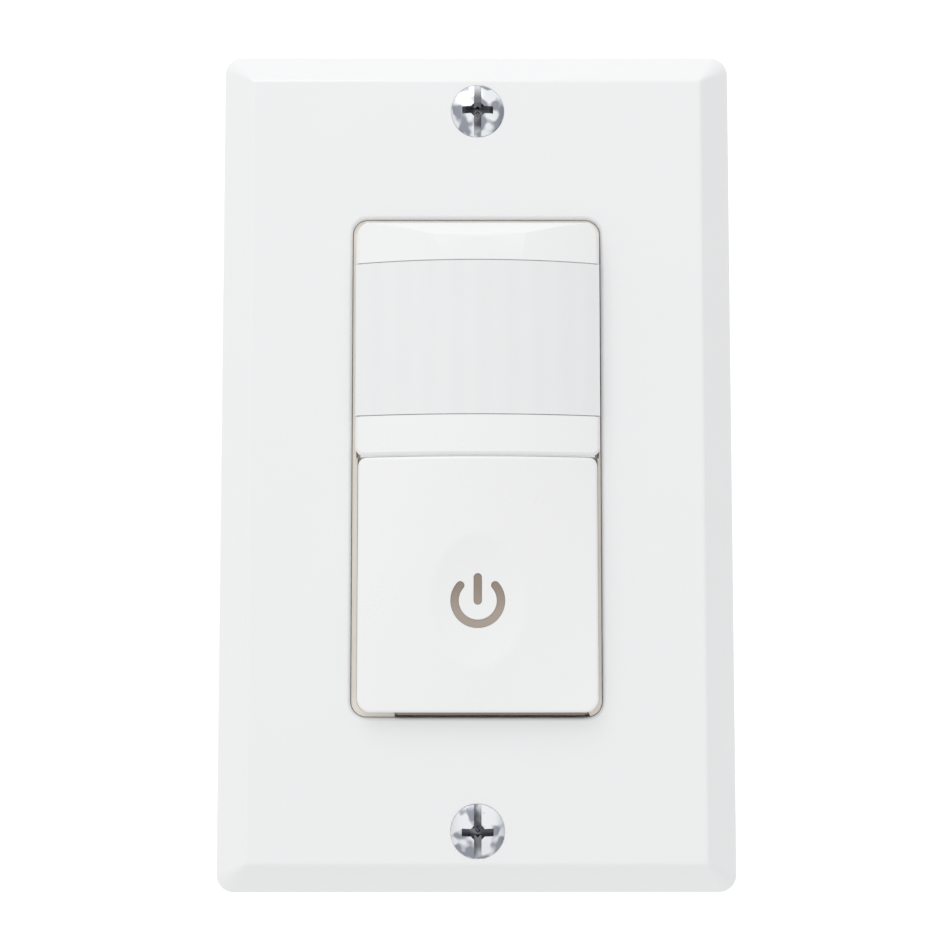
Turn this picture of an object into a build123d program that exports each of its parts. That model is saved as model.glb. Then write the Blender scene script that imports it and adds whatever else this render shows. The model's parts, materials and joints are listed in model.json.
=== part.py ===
from build123d import *
import math
import os

os.makedirs("parts", exist_ok=True)

# A one gang motion sensor light switch. Millimetres, +X right, +Z up, and -Y out of the wall.
# The origin is the middle of the device on the wall plane. A height is measured from the wall
# towards the room, and a depth from the wall into the wall box.

# Shared values
overrun = 1.0
seat_gap = 0.1
running_clearance = 0.05
hole_clearance = 0.3
round_sides = 12
fine_round_sides = 20

# Face of the device, from its top to its bottom
opening_top_gap = 0.8
head_length = 5.75
lens_length = 20.6
band_length = 5.25
button_gap = 0.2
button_length = 33.6
opening_bottom_gap = 0.9

# Wall plate
opening_width = 33.6
plate_side_margin = 18.125
plate_end_margin = 8.73
plate_corner_radius = 2.4
plate_rim_height = 2.2
plate_face_height = 5.6
plate_bevel_width = 4.4
plate_wall = 2.0
plate_rim_wall = 2.2
plate_slip = -0.15
opening_corner_radius = 2.1
opening_lip_wall = 1.5
opening_lip_chamfer = 0.5
opening_lip_depth = 1.0
plate_rib_thickness = 1.0
plate_rib_height = 0.8

# Screws that hold the plate, and the boss that each one passes through
plate_screw_margin = 6.75
plate_screw_head_diameter = 7.1
plate_screw_crown = 0.9
plate_screw_flat_share = 0.4
plate_screw_cone_height = 1.6
plate_screw_rim = 0.25
plate_screw_hole_diameter = 4.4
plate_screw_length = 12.0
boss_diameter = 6.0
machine_screw_diameter = 3.5

# Mounting strap
strap_thickness = 1.2
strap_end_reach = 1.5
strap_neck_width = 22.0
strap_tail_width = 34.0
strap_tail_height = 9.6
strap_corner_radius = 1.5
ear_hole_diameter = 3.6
ear_hole_spacing = 25.0
ear_notch_width = 1.0
ear_notch_length = 2.4
ear_notch_spacing = 18.0

# Screws that hold the strap to the wall box, and the thin washers that keep them in it
box_screw_margin = 8.12
box_screw_slot_length = 6.4
box_screw_slot_width = 4.0
box_screw_head_diameter = 6.6
box_screw_head_height = 1.9
box_screw_neck_diameter = 3.1
box_screw_length = 22.0
washer_diameter = 9.0
washer_thickness = 0.35
washer_side_gap = 1.67

# Front frame: the block that reaches through the strap and the plate
frame_gap = 0.3
frame_corner_radius = 1.9
frame_wall = 1.2
frame_ledge_height = 4.0
frame_flange_reach = 2.4
frame_flange_thickness = 1.2
frame_floor_front_depth = 0.8
frame_floor_thickness = 1.4
frame_bridge_thickness = 1.6
frame_boss_diameter = 5.4
frame_boss_depth = 6.0
frame_boss_inset = 0.2
frame_peg_width = 2.6
frame_peg_inset = 3.5

# Head and band round the lens; the whole face bulges about a vertical axis
face_gap = 0.2
face_edge_height = 7.4
face_bulge = 3.0
head_slope_length = 3.2
head_slope_drop = 3.6
head_slope_bow = 0.7
head_corner_radius = 2.3
band_edge_chamfer = 0.4
lens_gap = 0.12
lens_thickness = 0.7
lens_tray_depth = 1.6
lens_column_width = 3.4
lens_groove_radius = 0.25
bezel_wall = 1.3
bezel_window_inset = 2.0

# Push button
button_side_gap = 0.57
button_bottom_height = 7.8
button_bottom_bow = 0.1
button_skirt_height = 5.2
button_wall = 1.3
button_top_corner_radius = 1.2
button_bottom_corner_radius = 1.8
ceiling_flat_share = 0.5
dish_rise = 14.68
dish_half_height = 8.65
paddle_facets = 8
dish_depth = 0.45
dish_ring_shares = ((0.33, 1.0), (0.7, 0.52), (1.3, -0.52))
hinge_inset = 2.95
hinge_height = 2.0
hinge_pin_diameter = 2.0
hinge_socket_depth = 0.8
hinge_ear_thickness = 1.2
hinge_ear_width = 3.6
hinge_ear_gap = 0.5
presser_width = 3.2
spring_boss_diameter = 5.2
spring_boss_height = 4.4

# Light guide
guide_width = 12.0
guide_thickness = 1.2
guide_top_rise = 19.65
guide_bar_height = 3.2
lip_thickness = 0.7
lip_reach = 0.5
lip_width = 25.0
lip_offset = 1.8

# Paddle springs
spring_spread = 23.0
spring_lever = 15.0
spring_mean_diameter = 4.0
spring_wire = 0.5
spring_turns = 4
spring_turn_steps = 10
spring_wire_sides = 6
spring_spigot_width = 1.8
spring_spigot_length = 1.4

# Tact switch
tact_lever = 7.5
tact_width = 6.0
tact_body_height = 3.5
tact_plunger_diameter = 3.5
tact_plunger_reach = 1.5
tact_plunger_hidden = 1.4
tact_travel_room = 0.5

# Dials under the paddle
dial_spread = 9.5
dial_rise = 8.65
dial_diameter = 5.6
dial_height = 2.6
dial_slot_width = 0.9
dial_slot_length = 4.8
dial_slot_depth = 0.8
dial_shaft_diameter = 2.4
dial_shaft_length = 0.6
trimmer_width = 6.8
trimmer_height = 1.0

# Sensor board and the parts on it
board_thickness = 1.6
sensor_board_depth = 3.4
sensor_board_side_gap = 1.0
sensor_board_end_gap = 0.1
pir_can_diameter = 8.2
pir_base_diameter = 9.2
pir_base_thickness = 0.9
pir_can_height = 4.0
daylight_diameter = 3.0
daylight_height = 3.4
daylight_offset = 10.9
led_diameter = 3.0
led_height = 4.2
led_collar_diameter = 3.8
led_collar_height = 1.0
led_chamfer = 0.8
chip_length = 10.0
chip_width = 6.0
chip_height = 2.0
chip_leg_count = 8
chip_leg_width = 0.5
chip_leg_reach = 1.2
chip_leg_thickness = 0.5
chip_lever = 6.0
hood_wall = 0.8
hood_mouth_width = 23.0
hood_mouth_height = 13.0
hood_throat_width = 11.0
hood_throat_height = 10.6
hood_lens_gap = 0.8

# Main board and the parts on it, spaced by one gap
part_gap = 2.3
board_room = 6.6
main_board_side_gap = 0.95
main_board_end_gap = 0.7
main_board_foot = 7.5
header_pin_count = 8
header_pitch = 2.54
header_pin_width = 0.64
header_block_width = 2.5
header_block_height = 2.5
header_inset = 1.9
relay_width = 15.2
relay_length = 19.0
relay_height = 15.2
relay_chamfer = 0.6
film_length = 14.0
film_width = 7.0
film_height = 12.5
can_diameter = 8.0
can_height = 11.5
can_gap = 0.6
can_chamfer = 0.5
choke_diameter = 9.0
choke_core_diameter = 5.0
choke_height = 10.0
choke_flange = 1.2
varistor_diameter = 9.0
varistor_thickness = 4.0
varistor_lead = 1.5
fuse_diameter = 4.0
fuse_length = 9.0
fuse_lead = 1.4
wire_width = 0.8

# Rear housing
housing_wall = 1.8
housing_corner_radius = 2.5
housing_back_chamfer = 1.0
tower_diameter = 7.6
housing_screw_diameter = 2.6
housing_screw_head_diameter = 5.0
housing_screw_head_height = 1.8
housing_screw_head_depth = 19.0
housing_screw_bite = 4.4
board_post_length = 2.8
board_post_diameter = 4.0
board_post_spread_x = 31.0
board_post_spread_z = 42.0
vent_count = 7
vent_pitch = 3.0
vent_width = 1.2
vent_length = 16.0

# Side terminals
terminal_opening = 9.6
terminal_recess = 4.2
terminal_depth = 15.0
terminal_spread = 30.0
terminal_wall = 1.6
terminal_plate_thickness = 1.0
terminal_plate_width = 8.4
terminal_tab_width = 3.0
terminal_tab_offset = 3.2
terminal_tab_reach = 1.4
terminal_screw_head_diameter = 6.6
terminal_screw_head_height = 1.8
terminal_screw_bite = 1.0

# The face decides the opening, and the opening decides the screws and the plate
opening_height = (
    opening_top_gap
    + head_length
    + lens_length
    + band_length
    + button_gap
    + button_length
    + opening_bottom_gap
)
box_screw_spacing = opening_height + 2 * box_screw_margin
plate_screw_spacing = box_screw_spacing + 2 * plate_screw_margin
plate_height = plate_screw_spacing + 2 * plate_end_margin
plate_width = opening_width + 2 * plate_side_margin
plate_face_width = plate_width - 2 * plate_bevel_width
plate_face_length = plate_height - 2 * plate_bevel_width
plate_inner_height = plate_face_height - plate_wall

# Places up the face
head_top = opening_height / 2 - opening_top_gap
lens_top = head_top - head_length
lens_bottom = lens_top - lens_length
lens_middle = (lens_top + lens_bottom) / 2
band_bottom = lens_bottom - band_length
button_top = band_bottom - button_gap
button_bottom = button_top - button_length
dish_centre = button_bottom + dish_rise
hinge_rise = button_top - hinge_inset
tact_rise = hinge_rise - tact_lever
spring_rise = hinge_rise - spring_lever
dial_places = [(side * dial_spread, button_bottom + dial_rise) for side in (-1, 0, 1)]

# Frame, face and button across the opening
frame_width = opening_width - 2 * frame_gap
frame_height = opening_height - 2 * frame_gap
face_width = frame_width - 2 * face_gap
face_crown_height = face_edge_height + face_bulge
button_width = frame_width - 2 * button_side_gap
floor_back_depth = frame_floor_front_depth + frame_floor_thickness
tower_spread_x = frame_width - frame_boss_diameter - 2 * frame_boss_inset
tower_spread_z = frame_height - frame_boss_diameter - 2 * frame_boss_inset
press_face_height = tact_plunger_reach + tact_body_height - sensor_board_depth

# Boards, terminals and housing, from the parts in the middle outwards
sensor_board_back = sensor_board_depth + board_thickness
sensor_board_width = frame_width - 2 * sensor_board_side_gap
sensor_board_height = tower_spread_z - frame_boss_diameter - 2 * sensor_board_end_gap
main_board_depth = sensor_board_back + relay_height + board_room
main_board_back = main_board_depth + board_thickness
bay_half_width = (relay_width + can_diameter + 3 * part_gap) / 2
pocket_back = bay_half_width + terminal_tab_reach
pocket_floor = pocket_back + terminal_wall
housing_width = 2 * (pocket_floor + terminal_recess)
housing_height = box_screw_spacing - washer_diameter - 2 * washer_side_gap
housing_floor_depth = main_board_back + board_post_length
housing_depth = housing_floor_depth + housing_wall
main_board_width = housing_width - 2 * housing_wall - 2 * main_board_side_gap
main_board_height = housing_height - 2 * housing_wall - 2 * main_board_end_gap

# Strap
strap_body_height = housing_height + 2 * strap_end_reach
strap_height = plate_screw_spacing + strap_tail_height
tail_spacing = strap_height - strap_tail_height


def out(height):
    """The plane at a height in front of the wall: x right, y up, facing the room."""
    return Plane.XZ.offset(height)


def inside(depth):
    """The plane at a depth behind the wall: x right, y up, facing the room."""
    return Plane.XZ.offset(-depth)


def level(rise):
    """The level plane at a place up the wall, seen from above: x right, y into the wall."""
    return Plane.XY.offset(rise)


def save(builder, name):
    """Label a finished piece and write it to its own file."""
    builder.part.label = name
    export_step(builder.part, f"parts/{name}.step")


def disc(diameter):
    """The outline of a small hidden round piece or hole."""
    RegularPolygon(diameter / 2, round_sides)


def face_section(width, back, edge):
    """A closed section seen from above: straight back and sides, and a front that bows out."""
    left = -width / 2
    right = width / 2
    Polyline((left, -edge), (left, -back), (right, -back), (right, -edge))
    ThreePointArc((left, -edge), (0, -edge - face_bulge), (right, -edge))


def face_block(bottom, top, inset, back):
    """An upright block under the face's bulge, inset from it, between two places up the wall."""
    with BuildPart() as block:
        with BuildSketch(level(bottom)):
            with BuildLine():
                face_section(face_width - 2 * inset, back, face_edge_height - inset)
            make_face()
        extrude(amount=top - bottom)
    return block.part


def rounded_front(width, bottom, top, low_radius, high_radius):
    """A thick upright slab with rounded corners, which trims the outline of a face piece."""
    with BuildPart() as slab:
        with BuildSketch(out(0)) as outline:
            with Locations((0, (bottom + top) / 2)):
                Rectangle(width, top - bottom)
            corners = outline.vertices().group_by(Axis.Y)
            fillet(corners[-1], radius=high_radius)
            corners = outline.vertices().group_by(Axis.Y)
            fillet(corners[0], radius=low_radius)
        extrude(amount=face_crown_height + overrun)
    return slab.part


def paddle_edge_height(rise):
    """The height of the paddle's side edge at a place up the wall."""
    share = (button_top - rise) / button_length
    return face_edge_height + share * (button_bottom_height - face_edge_height)


def paddle_bulge(rise):
    """How far the paddle's middle stands above its side edges at a place up the wall."""
    share = (rise - button_bottom) / button_length
    return button_bottom_bow + share * (face_bulge - button_bottom_bow)


def paddle_section(rise):
    """The paddle's section at a place up the wall: straight sides and a faceted, bowed front."""
    half = button_width / 2
    points = [(half, -button_skirt_height), (-half, -button_skirt_height)]
    for i in range(paddle_facets + 1):
        across = 2 * i / paddle_facets - 1
        bow = paddle_bulge(rise) * (1 - across**2)
        points.append((across * half, -paddle_edge_height(rise) - bow))
    Polyline(*points, close=True)


def paddle_ceiling(rise):
    """The height of the flat ceiling under the paddle's middle at a place up the wall."""
    bulge_at_flat = paddle_bulge(rise) * (1 - ceiling_flat_share**2)
    return paddle_edge_height(rise) + bulge_at_flat - button_wall


def plate_screw_grid():
    return GridLocations(0, plate_screw_spacing, 1, 2)


def box_screw_grid():
    return GridLocations(0, box_screw_spacing, 1, 2)


def tower_grid():
    return GridLocations(tower_spread_x, tower_spread_z, 2, 2)


# Wall plate: a bevelled tray with its opening, screw bosses and stiffening ribs
plate_plane = Plane(origin=(plate_slip, 0, 0), x_dir=(1, 0, 0), z_dir=(0, -1, 0))
with BuildPart() as wall_plate:
    with BuildSketch(plate_plane):
        RectangleRounded(plate_width, plate_height, plate_corner_radius)
    extrude(amount=plate_rim_height)
    with BuildSketch(plate_plane.offset(plate_rim_height)):
        RectangleRounded(plate_width, plate_height, plate_corner_radius)
    with BuildSketch(plate_plane.offset(plate_face_height)):
        RectangleRounded(plate_face_width, plate_face_length, plate_corner_radius)
    loft(ruled=True)
    with BuildSketch(plate_plane):
        Rectangle(plate_width - 2 * plate_rim_wall, plate_height - 2 * plate_rim_wall)
    with BuildSketch(plate_plane.offset(plate_inner_height)):
        Rectangle(plate_face_width, plate_face_length)
    loft(ruled=True, mode=Mode.SUBTRACT)
    with BuildSketch(plate_plane.offset(plate_inner_height)):
        Rectangle(opening_width + 2 * opening_lip_wall, opening_height + 2 * opening_lip_wall)
    extrude(amount=-opening_lip_depth)
    with BuildSketch(plate_plane.offset(plate_inner_height)):
        with GridLocations((opening_width + plate_face_width) / 2, 0, 2, 1):
            Rectangle(plate_rib_thickness, plate_screw_spacing)
        with plate_screw_grid():
            Rectangle(plate_face_width, plate_rib_thickness)
    extrude(amount=-plate_rib_height)
    with BuildSketch(out(strap_thickness)):
        with plate_screw_grid():
            RegularPolygon(boss_diameter / 2, round_sides)
    extrude(amount=plate_inner_height - strap_thickness)
    with BuildSketch(plate_plane.offset(-overrun)):
        RectangleRounded(opening_width, opening_height, opening_corner_radius)
    extrude(amount=plate_face_height + 2 * overrun, mode=Mode.SUBTRACT)
    front_face = wall_plate.faces().filter_by(Axis.Y).sort_by(Axis.Y)[0]
    chamfer(front_face.inner_wires()[0].edges(), length=opening_lip_chamfer)
    with Locations(out(plate_face_height)):
        with plate_screw_grid():
            CounterSinkHole(
                radius=plate_screw_hole_diameter / 2,
                counter_sink_radius=plate_screw_head_diameter / 2 + hole_clearance,
            )
save(wall_plate, "wall_plate")

# Plate screws: oval heads over a countersunk cone
head_radius = plate_screw_head_diameter / 2
shank_radius = machine_screw_diameter / 2
crown_top = -plate_face_height - plate_screw_crown
crown_rim = -plate_face_height
cone_top = crown_rim + plate_screw_rim
plate_screw_tip = plate_screw_length - plate_face_height
with BuildPart() as plate_screw:
    with BuildSketch(Plane.XY):
        with BuildLine():
            Polyline(
                (0, crown_top),
                (head_radius * plate_screw_flat_share, crown_top),
                (head_radius, crown_rim),
                (head_radius, cone_top),
                (shank_radius, cone_top + plate_screw_cone_height),
                (shank_radius, plate_screw_tip),
                (0, plate_screw_tip),
                close=True,
            )
        make_face()
    revolve(axis=Axis.Y)
with BuildPart() as plate_screws:
    with Locations((0, 0, plate_screw_spacing / 2), (0, 0, -plate_screw_spacing / 2)):
        add(plate_screw.part)
save(plate_screws, "plate_screws")

# Mounting strap: body, necks and ears in one stamping, with its window, slots and tapped holes
with BuildPart() as mounting_strap:
    with BuildSketch(Plane.XZ):
        RectangleRounded(housing_width, strap_body_height, strap_corner_radius)
        Rectangle(strap_neck_width, strap_height - strap_tail_height)
        with GridLocations(0, tail_spacing, 1, 2):
            RectangleRounded(strap_tail_width, strap_tail_height, strap_corner_radius)
    extrude(amount=strap_thickness)
    with BuildSketch(Plane.XZ):
        RectangleRounded(
            frame_width + 2 * hole_clearance,
            frame_height + 2 * hole_clearance,
            frame_corner_radius + hole_clearance,
        )
        with box_screw_grid():
            SlotOverall(box_screw_slot_length, box_screw_slot_width)
        with plate_screw_grid():
            Circle(machine_screw_diameter / 2 + running_clearance)
        with GridLocations(ear_hole_spacing, tail_spacing, 2, 2):
            disc(ear_hole_diameter)
        with GridLocations(ear_notch_spacing, strap_height - ear_notch_length, 2, 2):
            Rectangle(ear_notch_width, ear_notch_length)
    extrude(amount=strap_thickness, mode=Mode.SUBTRACT)
save(mounting_strap, "mounting_strap")

# Box screws: pan heads in front of the strap, and a narrow neck where the washer sits
neck_length = strap_thickness + washer_thickness + running_clearance
with BuildPart() as box_screws:
    with BuildSketch(out(strap_thickness)):
        with box_screw_grid():
            RegularPolygon(box_screw_head_diameter / 2, fine_round_sides)
    extrude(amount=box_screw_head_height)
    with BuildSketch(out(strap_thickness)):
        with box_screw_grid():
            disc(box_screw_neck_diameter)
    extrude(amount=-neck_length)
    with BuildSketch(out(strap_thickness - neck_length)):
        with box_screw_grid():
            Circle(machine_screw_diameter / 2)
    extrude(amount=-(box_screw_length - neck_length + strap_thickness))
save(box_screws, "box_screws")

with BuildPart() as screw_washers:
    with BuildSketch(inside(washer_thickness)):
        with box_screw_grid():
            disc(washer_diameter)
            Circle(box_screw_neck_diameter / 2 + running_clearance, mode=Mode.SUBTRACT)
    extrude(amount=washer_thickness)
save(screw_washers, "screw_washers")

# Front frame: ledge wall, flange over the strap, floor, bridge, hinge sockets and screw bosses
peg_low_rise = hinge_rise - 2 * hinge_height - hinge_pin_diameter
peg_high_rise = sensor_board_height / 2 - frame_peg_inset
with BuildPart() as front_frame:
    with BuildSketch(inside(floor_back_depth)):
        RectangleRounded(frame_width, frame_height, frame_corner_radius)
    extrude(amount=floor_back_depth + frame_ledge_height)
    with BuildSketch(out(strap_thickness)):
        RectangleRounded(
            frame_width + 2 * frame_flange_reach,
            frame_height + 2 * frame_flange_reach,
            frame_corner_radius + frame_flange_reach,
        )
    extrude(amount=frame_flange_thickness)
    with BuildSketch(inside(frame_floor_front_depth)):
        RectangleRounded(
            frame_width - 2 * frame_wall,
            frame_height - 2 * frame_wall,
            frame_corner_radius - frame_wall / 2,
        )
        with Locations((0, band_bottom + frame_bridge_thickness / 2)):
            Rectangle(frame_width, frame_bridge_thickness, mode=Mode.SUBTRACT)
    extrude(amount=frame_floor_front_depth + frame_ledge_height + overrun, mode=Mode.SUBTRACT)
    with BuildSketch(inside(frame_boss_depth)):
        with tower_grid():
            disc(frame_boss_diameter)
    extrude(amount=frame_boss_depth - floor_back_depth)
    with BuildSketch(inside(sensor_board_depth)):
        with GridLocations(tower_spread_x, 0, 2, 1):
            with Locations((0, peg_high_rise), (0, peg_low_rise)):
                Rectangle(frame_peg_width, frame_peg_width)
    extrude(amount=sensor_board_depth - floor_back_depth)
    with BuildSketch(inside(frame_boss_depth)):
        with tower_grid():
            disc(housing_screw_diameter + 2 * seat_gap)
    extrude(amount=housing_screw_bite, mode=Mode.SUBTRACT)
    with BuildSketch(inside(floor_back_depth)):
        with Locations((0, tact_rise)):
            Rectangle(tact_width + 2 * hole_clearance, tact_width + 2 * hole_clearance)
        with Locations((0, dish_centre)):
            disc(led_diameter + 2 * hole_clearance)
        with Locations(*dial_places):
            disc(dial_diameter + 2 * hole_clearance)
        with Locations((0, lens_middle)):
            disc(pir_can_diameter + 2 * hole_clearance)
        with Locations((daylight_offset, lens_middle)):
            disc(daylight_diameter + 2 * hole_clearance)
    extrude(amount=frame_floor_thickness, mode=Mode.SUBTRACT)
    with BuildSketch(Plane.YZ):
        with Locations((-hinge_height, hinge_rise)):
            Circle(hinge_pin_diameter / 2 + running_clearance)
    socket_reach = frame_width / 2 - frame_wall + hinge_socket_depth
    extrude(amount=socket_reach, both=True, mode=Mode.SUBTRACT)
save(front_frame, "front_frame")

# Sensor bezel: head and band in one moulding, with the raised rim that the lens clips over
lens_seat_inset = lens_thickness + lens_gap
lens_back_height = face_edge_height - lens_tray_depth
hollow_back = frame_ledge_height - overrun
with BuildPart() as sensor_bezel:
    add(face_block(band_bottom, head_top, 0, frame_ledge_height))
    add(
        rounded_front(
            face_width, band_bottom, head_top, button_top_corner_radius, head_corner_radius
        ),
        mode=Mode.INTERSECT,
    )
    band_edge = sensor_bezel.faces().sort_by(Axis.Z)[0].edges().sort_by(Axis.Y)[0]
    chamfer(band_edge, length=band_edge_chamfer)
    with BuildSketch(Plane.YZ):
        with BuildLine():
            slope_front = (-face_crown_height, head_top - head_slope_length)
            slope_back = (-face_crown_height + head_slope_drop, head_top)
            SagittaArc(slope_front, slope_back, head_slope_bow)
            Polyline(
                slope_back,
                (slope_back[0], head_top + overrun),
                (-face_crown_height - overrun, head_top + overrun),
                (-face_crown_height - overrun, head_top - head_slope_length),
                slope_front,
            )
        make_face()
    extrude(amount=face_width, both=True, mode=Mode.SUBTRACT)
    add(
        face_block(lens_bottom, lens_top, -overrun, lens_back_height - lens_gap),
        mode=Mode.SUBTRACT,
    )
    seat_margin = lens_seat_inset + lens_gap
    seat_bottom = lens_bottom + seat_margin
    seat_top = lens_top - seat_margin
    add(face_block(seat_bottom, seat_top, lens_seat_inset, frame_ledge_height))
    hollow_top = head_top - bezel_wall - head_slope_length / 2
    add(
        face_block(lens_top + bezel_wall, hollow_top, bezel_wall, hollow_back),
        mode=Mode.SUBTRACT,
    )
    add(
        face_block(band_bottom + bezel_wall, lens_bottom - bezel_wall, bezel_wall, hollow_back),
        mode=Mode.SUBTRACT,
    )
    with BuildSketch(out(frame_ledge_height)):
        with Locations((0, lens_middle)):
            Rectangle(
                face_width - 2 * (lens_seat_inset + bezel_window_inset),
                seat_top - seat_bottom - bezel_window_inset,
            )
    extrude(amount=face_crown_height, mode=Mode.SUBTRACT)
save(sensor_bezel, "sensor_bezel")

# Sensor lens: a thin bowed tray, with grooves between the lens columns on its inner side
lens_low = lens_bottom + lens_gap
lens_high = lens_top - lens_gap
lens_inner_width = face_width - 2 * lens_thickness
bulge_radius = (lens_inner_width**2 / 4 + face_bulge**2) / (2 * face_bulge)
bulge_axis_y = bulge_radius - (face_crown_height - lens_thickness)
lens_column_count = math.floor(lens_inner_width / lens_column_width)
column_angle = 2 * math.asin(lens_inner_width / 2 / bulge_radius) / lens_column_count
groove_angles = [(i - lens_column_count / 2) * column_angle for i in range(1, lens_column_count)]
with BuildPart() as sensor_lens:
    add(face_block(lens_low, lens_high, 0, lens_back_height))
    add(
        face_block(
            lens_low + lens_thickness,
            lens_high - lens_thickness,
            lens_thickness,
            lens_back_height - overrun,
        ),
        mode=Mode.SUBTRACT,
    )
    with BuildSketch(level(lens_low + lens_thickness)):
        for angle in groove_angles:
            groove_x = bulge_radius * math.sin(angle)
            groove_y = bulge_axis_y - bulge_radius * math.cos(angle)
            with Locations((groove_x, groove_y)):
                RegularPolygon(lens_groove_radius, 4)
    extrude(amount=lens_high - lens_low - 2 * lens_thickness, mode=Mode.SUBTRACT)
save(sensor_lens, "sensor_lens")

# Push button: a bowed shell with a finger dish, hinge ears with pins, a presser and bosses. The dish
# is cut by two round cones: the bow of the face alone makes its outline taller than it is wide
face_slope = math.degrees(math.atan((face_crown_height - button_bottom_height) / button_length))
dish_front = paddle_edge_height(dish_centre) + paddle_bulge(dish_centre)
dish_plane = Plane(
    origin=(0, -dish_front, dish_centre), x_dir=(1, 0, 0), z_dir=(0, -1, 0)
).rotated((face_slope, 0, 0))
hollow_half_width = button_width / 2 - button_wall
flat_half_width = button_width / 2 * ceiling_flat_share
ear_outer = frame_width / 2 - frame_wall - hinge_ear_gap
pin_end = frame_width / 2 - frame_wall + hinge_socket_depth - seat_gap
presser_base = press_face_height + seat_gap
with BuildPart() as push_button:
    for rise in (button_top, button_bottom):
        with BuildSketch(level(rise)):
            with BuildLine():
                paddle_section(rise)
            make_face()
    loft(ruled=True)
    corner_edges = push_button.edges().filter_by(Axis.Y).group_by(Axis.Z)
    fillet(corner_edges[-1], radius=button_top_corner_radius)
    fillet(corner_edges[0], radius=button_bottom_corner_radius)
    for rise in (button_top - button_wall, button_bottom + button_wall):
        with BuildSketch(level(rise)):
            with BuildLine():
                side_height = paddle_edge_height(rise) - button_wall
                Polyline(
                    (-hollow_half_width, -button_skirt_height + overrun),
                    (-hollow_half_width, -side_height),
                    (-flat_half_width, -paddle_ceiling(rise)),
                    (flat_half_width, -paddle_ceiling(rise)),
                    (hollow_half_width, -side_height),
                    (hollow_half_width, -button_skirt_height + overrun),
                    close=True,
                )
            make_face()
    loft(ruled=True, mode=Mode.SUBTRACT)
    for (inner, deep), (outer, shallow) in zip(dish_ring_shares, dish_ring_shares[1:]):
        with Locations(dish_plane.offset(-dish_depth * deep)):
            Cone(
                bottom_radius=dish_half_height * inner,
                top_radius=dish_half_height * outer,
                height=dish_depth * (deep - shallow),
                align=(Align.CENTER, Align.CENTER, Align.MIN),
                mode=Mode.SUBTRACT,
            )
    with BuildSketch(out(button_skirt_height)):
        with Locations((lip_offset, button_bottom)):
            Rectangle(lip_width + 2 * seat_gap, 2 * button_wall + overrun)
    extrude(amount=lip_thickness + seat_gap, mode=Mode.SUBTRACT)
    with BuildSketch(inside(0)):
        with Locations((0, hinge_rise)):
            with GridLocations(2 * ear_outer - hinge_ear_thickness, 0, 2, 1):
                Rectangle(hinge_ear_thickness, hinge_ear_width)
    extrude(amount=face_edge_height)
    with BuildSketch(out(presser_base)):
        with Locations((0, tact_rise)):
            Rectangle(presser_width, presser_width)
    extrude(amount=paddle_ceiling(tact_rise) + button_wall / 2 - presser_base)
    with BuildSketch(out(spring_boss_height)):
        with GridLocations(spring_spread, 0, 2, 1):
            with Locations((0, spring_rise)):
                disc(spring_boss_diameter)
    extrude(amount=face_edge_height - spring_boss_height)
    with BuildSketch(out(spring_boss_height)):
        with GridLocations(spring_spread, 0, 2, 1):
            with Locations((0, spring_rise)):
                Rectangle(spring_spigot_width, spring_spigot_width)
    extrude(amount=-spring_spigot_length)
    for side in (-1, 1):
        with BuildSketch(Plane.YZ.offset(side * (ear_outer - hinge_ear_thickness))):
            with Locations((-hinge_height, hinge_rise)):
                Circle(hinge_pin_diameter / 2)
        extrude(amount=side * (pin_end - ear_outer + hinge_ear_thickness))
save(push_button, "push_button")

# Light guide: a plate under the shell's ceiling, with a lip out under the paddle's lower edge
guide_bottom = button_bottom + button_wall + seat_gap
guide_top = button_bottom + guide_top_rise
bar_top = guide_bottom + guide_bar_height
bar_front = paddle_edge_height(guide_bottom) - button_wall - seat_gap
lip_bottom = button_bottom - lip_reach
with BuildPart() as light_guide:
    with BuildSketch(Plane.YZ):
        with BuildLine():
            front_high = -paddle_ceiling(guide_top) + seat_gap
            front_low = -paddle_ceiling(guide_bottom) + seat_gap
            Polyline(
                (front_high, guide_top),
                (front_high + guide_thickness, guide_top),
                (front_low + guide_thickness, guide_bottom),
                (front_low, guide_bottom),
                close=True,
            )
        make_face()
    extrude(amount=guide_width / 2, both=True)
    with BuildSketch(out(button_skirt_height)):
        with Locations((lip_offset, (bar_top + guide_bottom) / 2)):
            Rectangle(lip_width, guide_bar_height)
    extrude(amount=bar_front - button_skirt_height)
    with BuildSketch(out(button_skirt_height)):
        with Locations((lip_offset, (bar_top + lip_bottom) / 2)):
            Rectangle(lip_width, bar_top - lip_bottom)
    extrude(amount=lip_thickness)
save(light_guide, "light_guide")

# Paddle springs: coils between the frame's floor and the bosses under the paddle
spring_low = -frame_floor_front_depth + seat_gap + spring_wire / 2
spring_high = spring_boss_height - seat_gap - spring_wire / 2
coil_steps = spring_turns * spring_turn_steps
coil_points = []
for step in range(coil_steps + 1):
    turn_angle = math.tau * step / spring_turn_steps
    coil_points.append(
        (
            spring_mean_diameter / 2 * math.cos(turn_angle),
            -(spring_low + (spring_high - spring_low) * step / coil_steps),
            spring_mean_diameter / 2 * math.sin(turn_angle),
        )
    )
with BuildPart() as spring_coil:
    with BuildLine():
        coil_path = Polyline(*coil_points)
    with BuildSketch(Plane(origin=coil_path @ 0, z_dir=coil_path % 0)):
        RegularPolygon(spring_wire / 2, spring_wire_sides)
    sweep(path=coil_path, transition=Transition.RIGHT)
with BuildPart() as paddle_springs:
    with Locations((spring_spread / 2, 0, spring_rise), (-spring_spread / 2, 0, spring_rise)):
        add(spring_coil.part)
save(paddle_springs, "paddle_springs")

# Sensor board: a slim board behind the frame's floor, between the screw bosses
with BuildPart() as sensor_board:
    with BuildSketch(inside(sensor_board_back)):
        Rectangle(sensor_board_width, sensor_board_height)
    extrude(amount=board_thickness)
save(sensor_board, "sensor_board")

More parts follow.
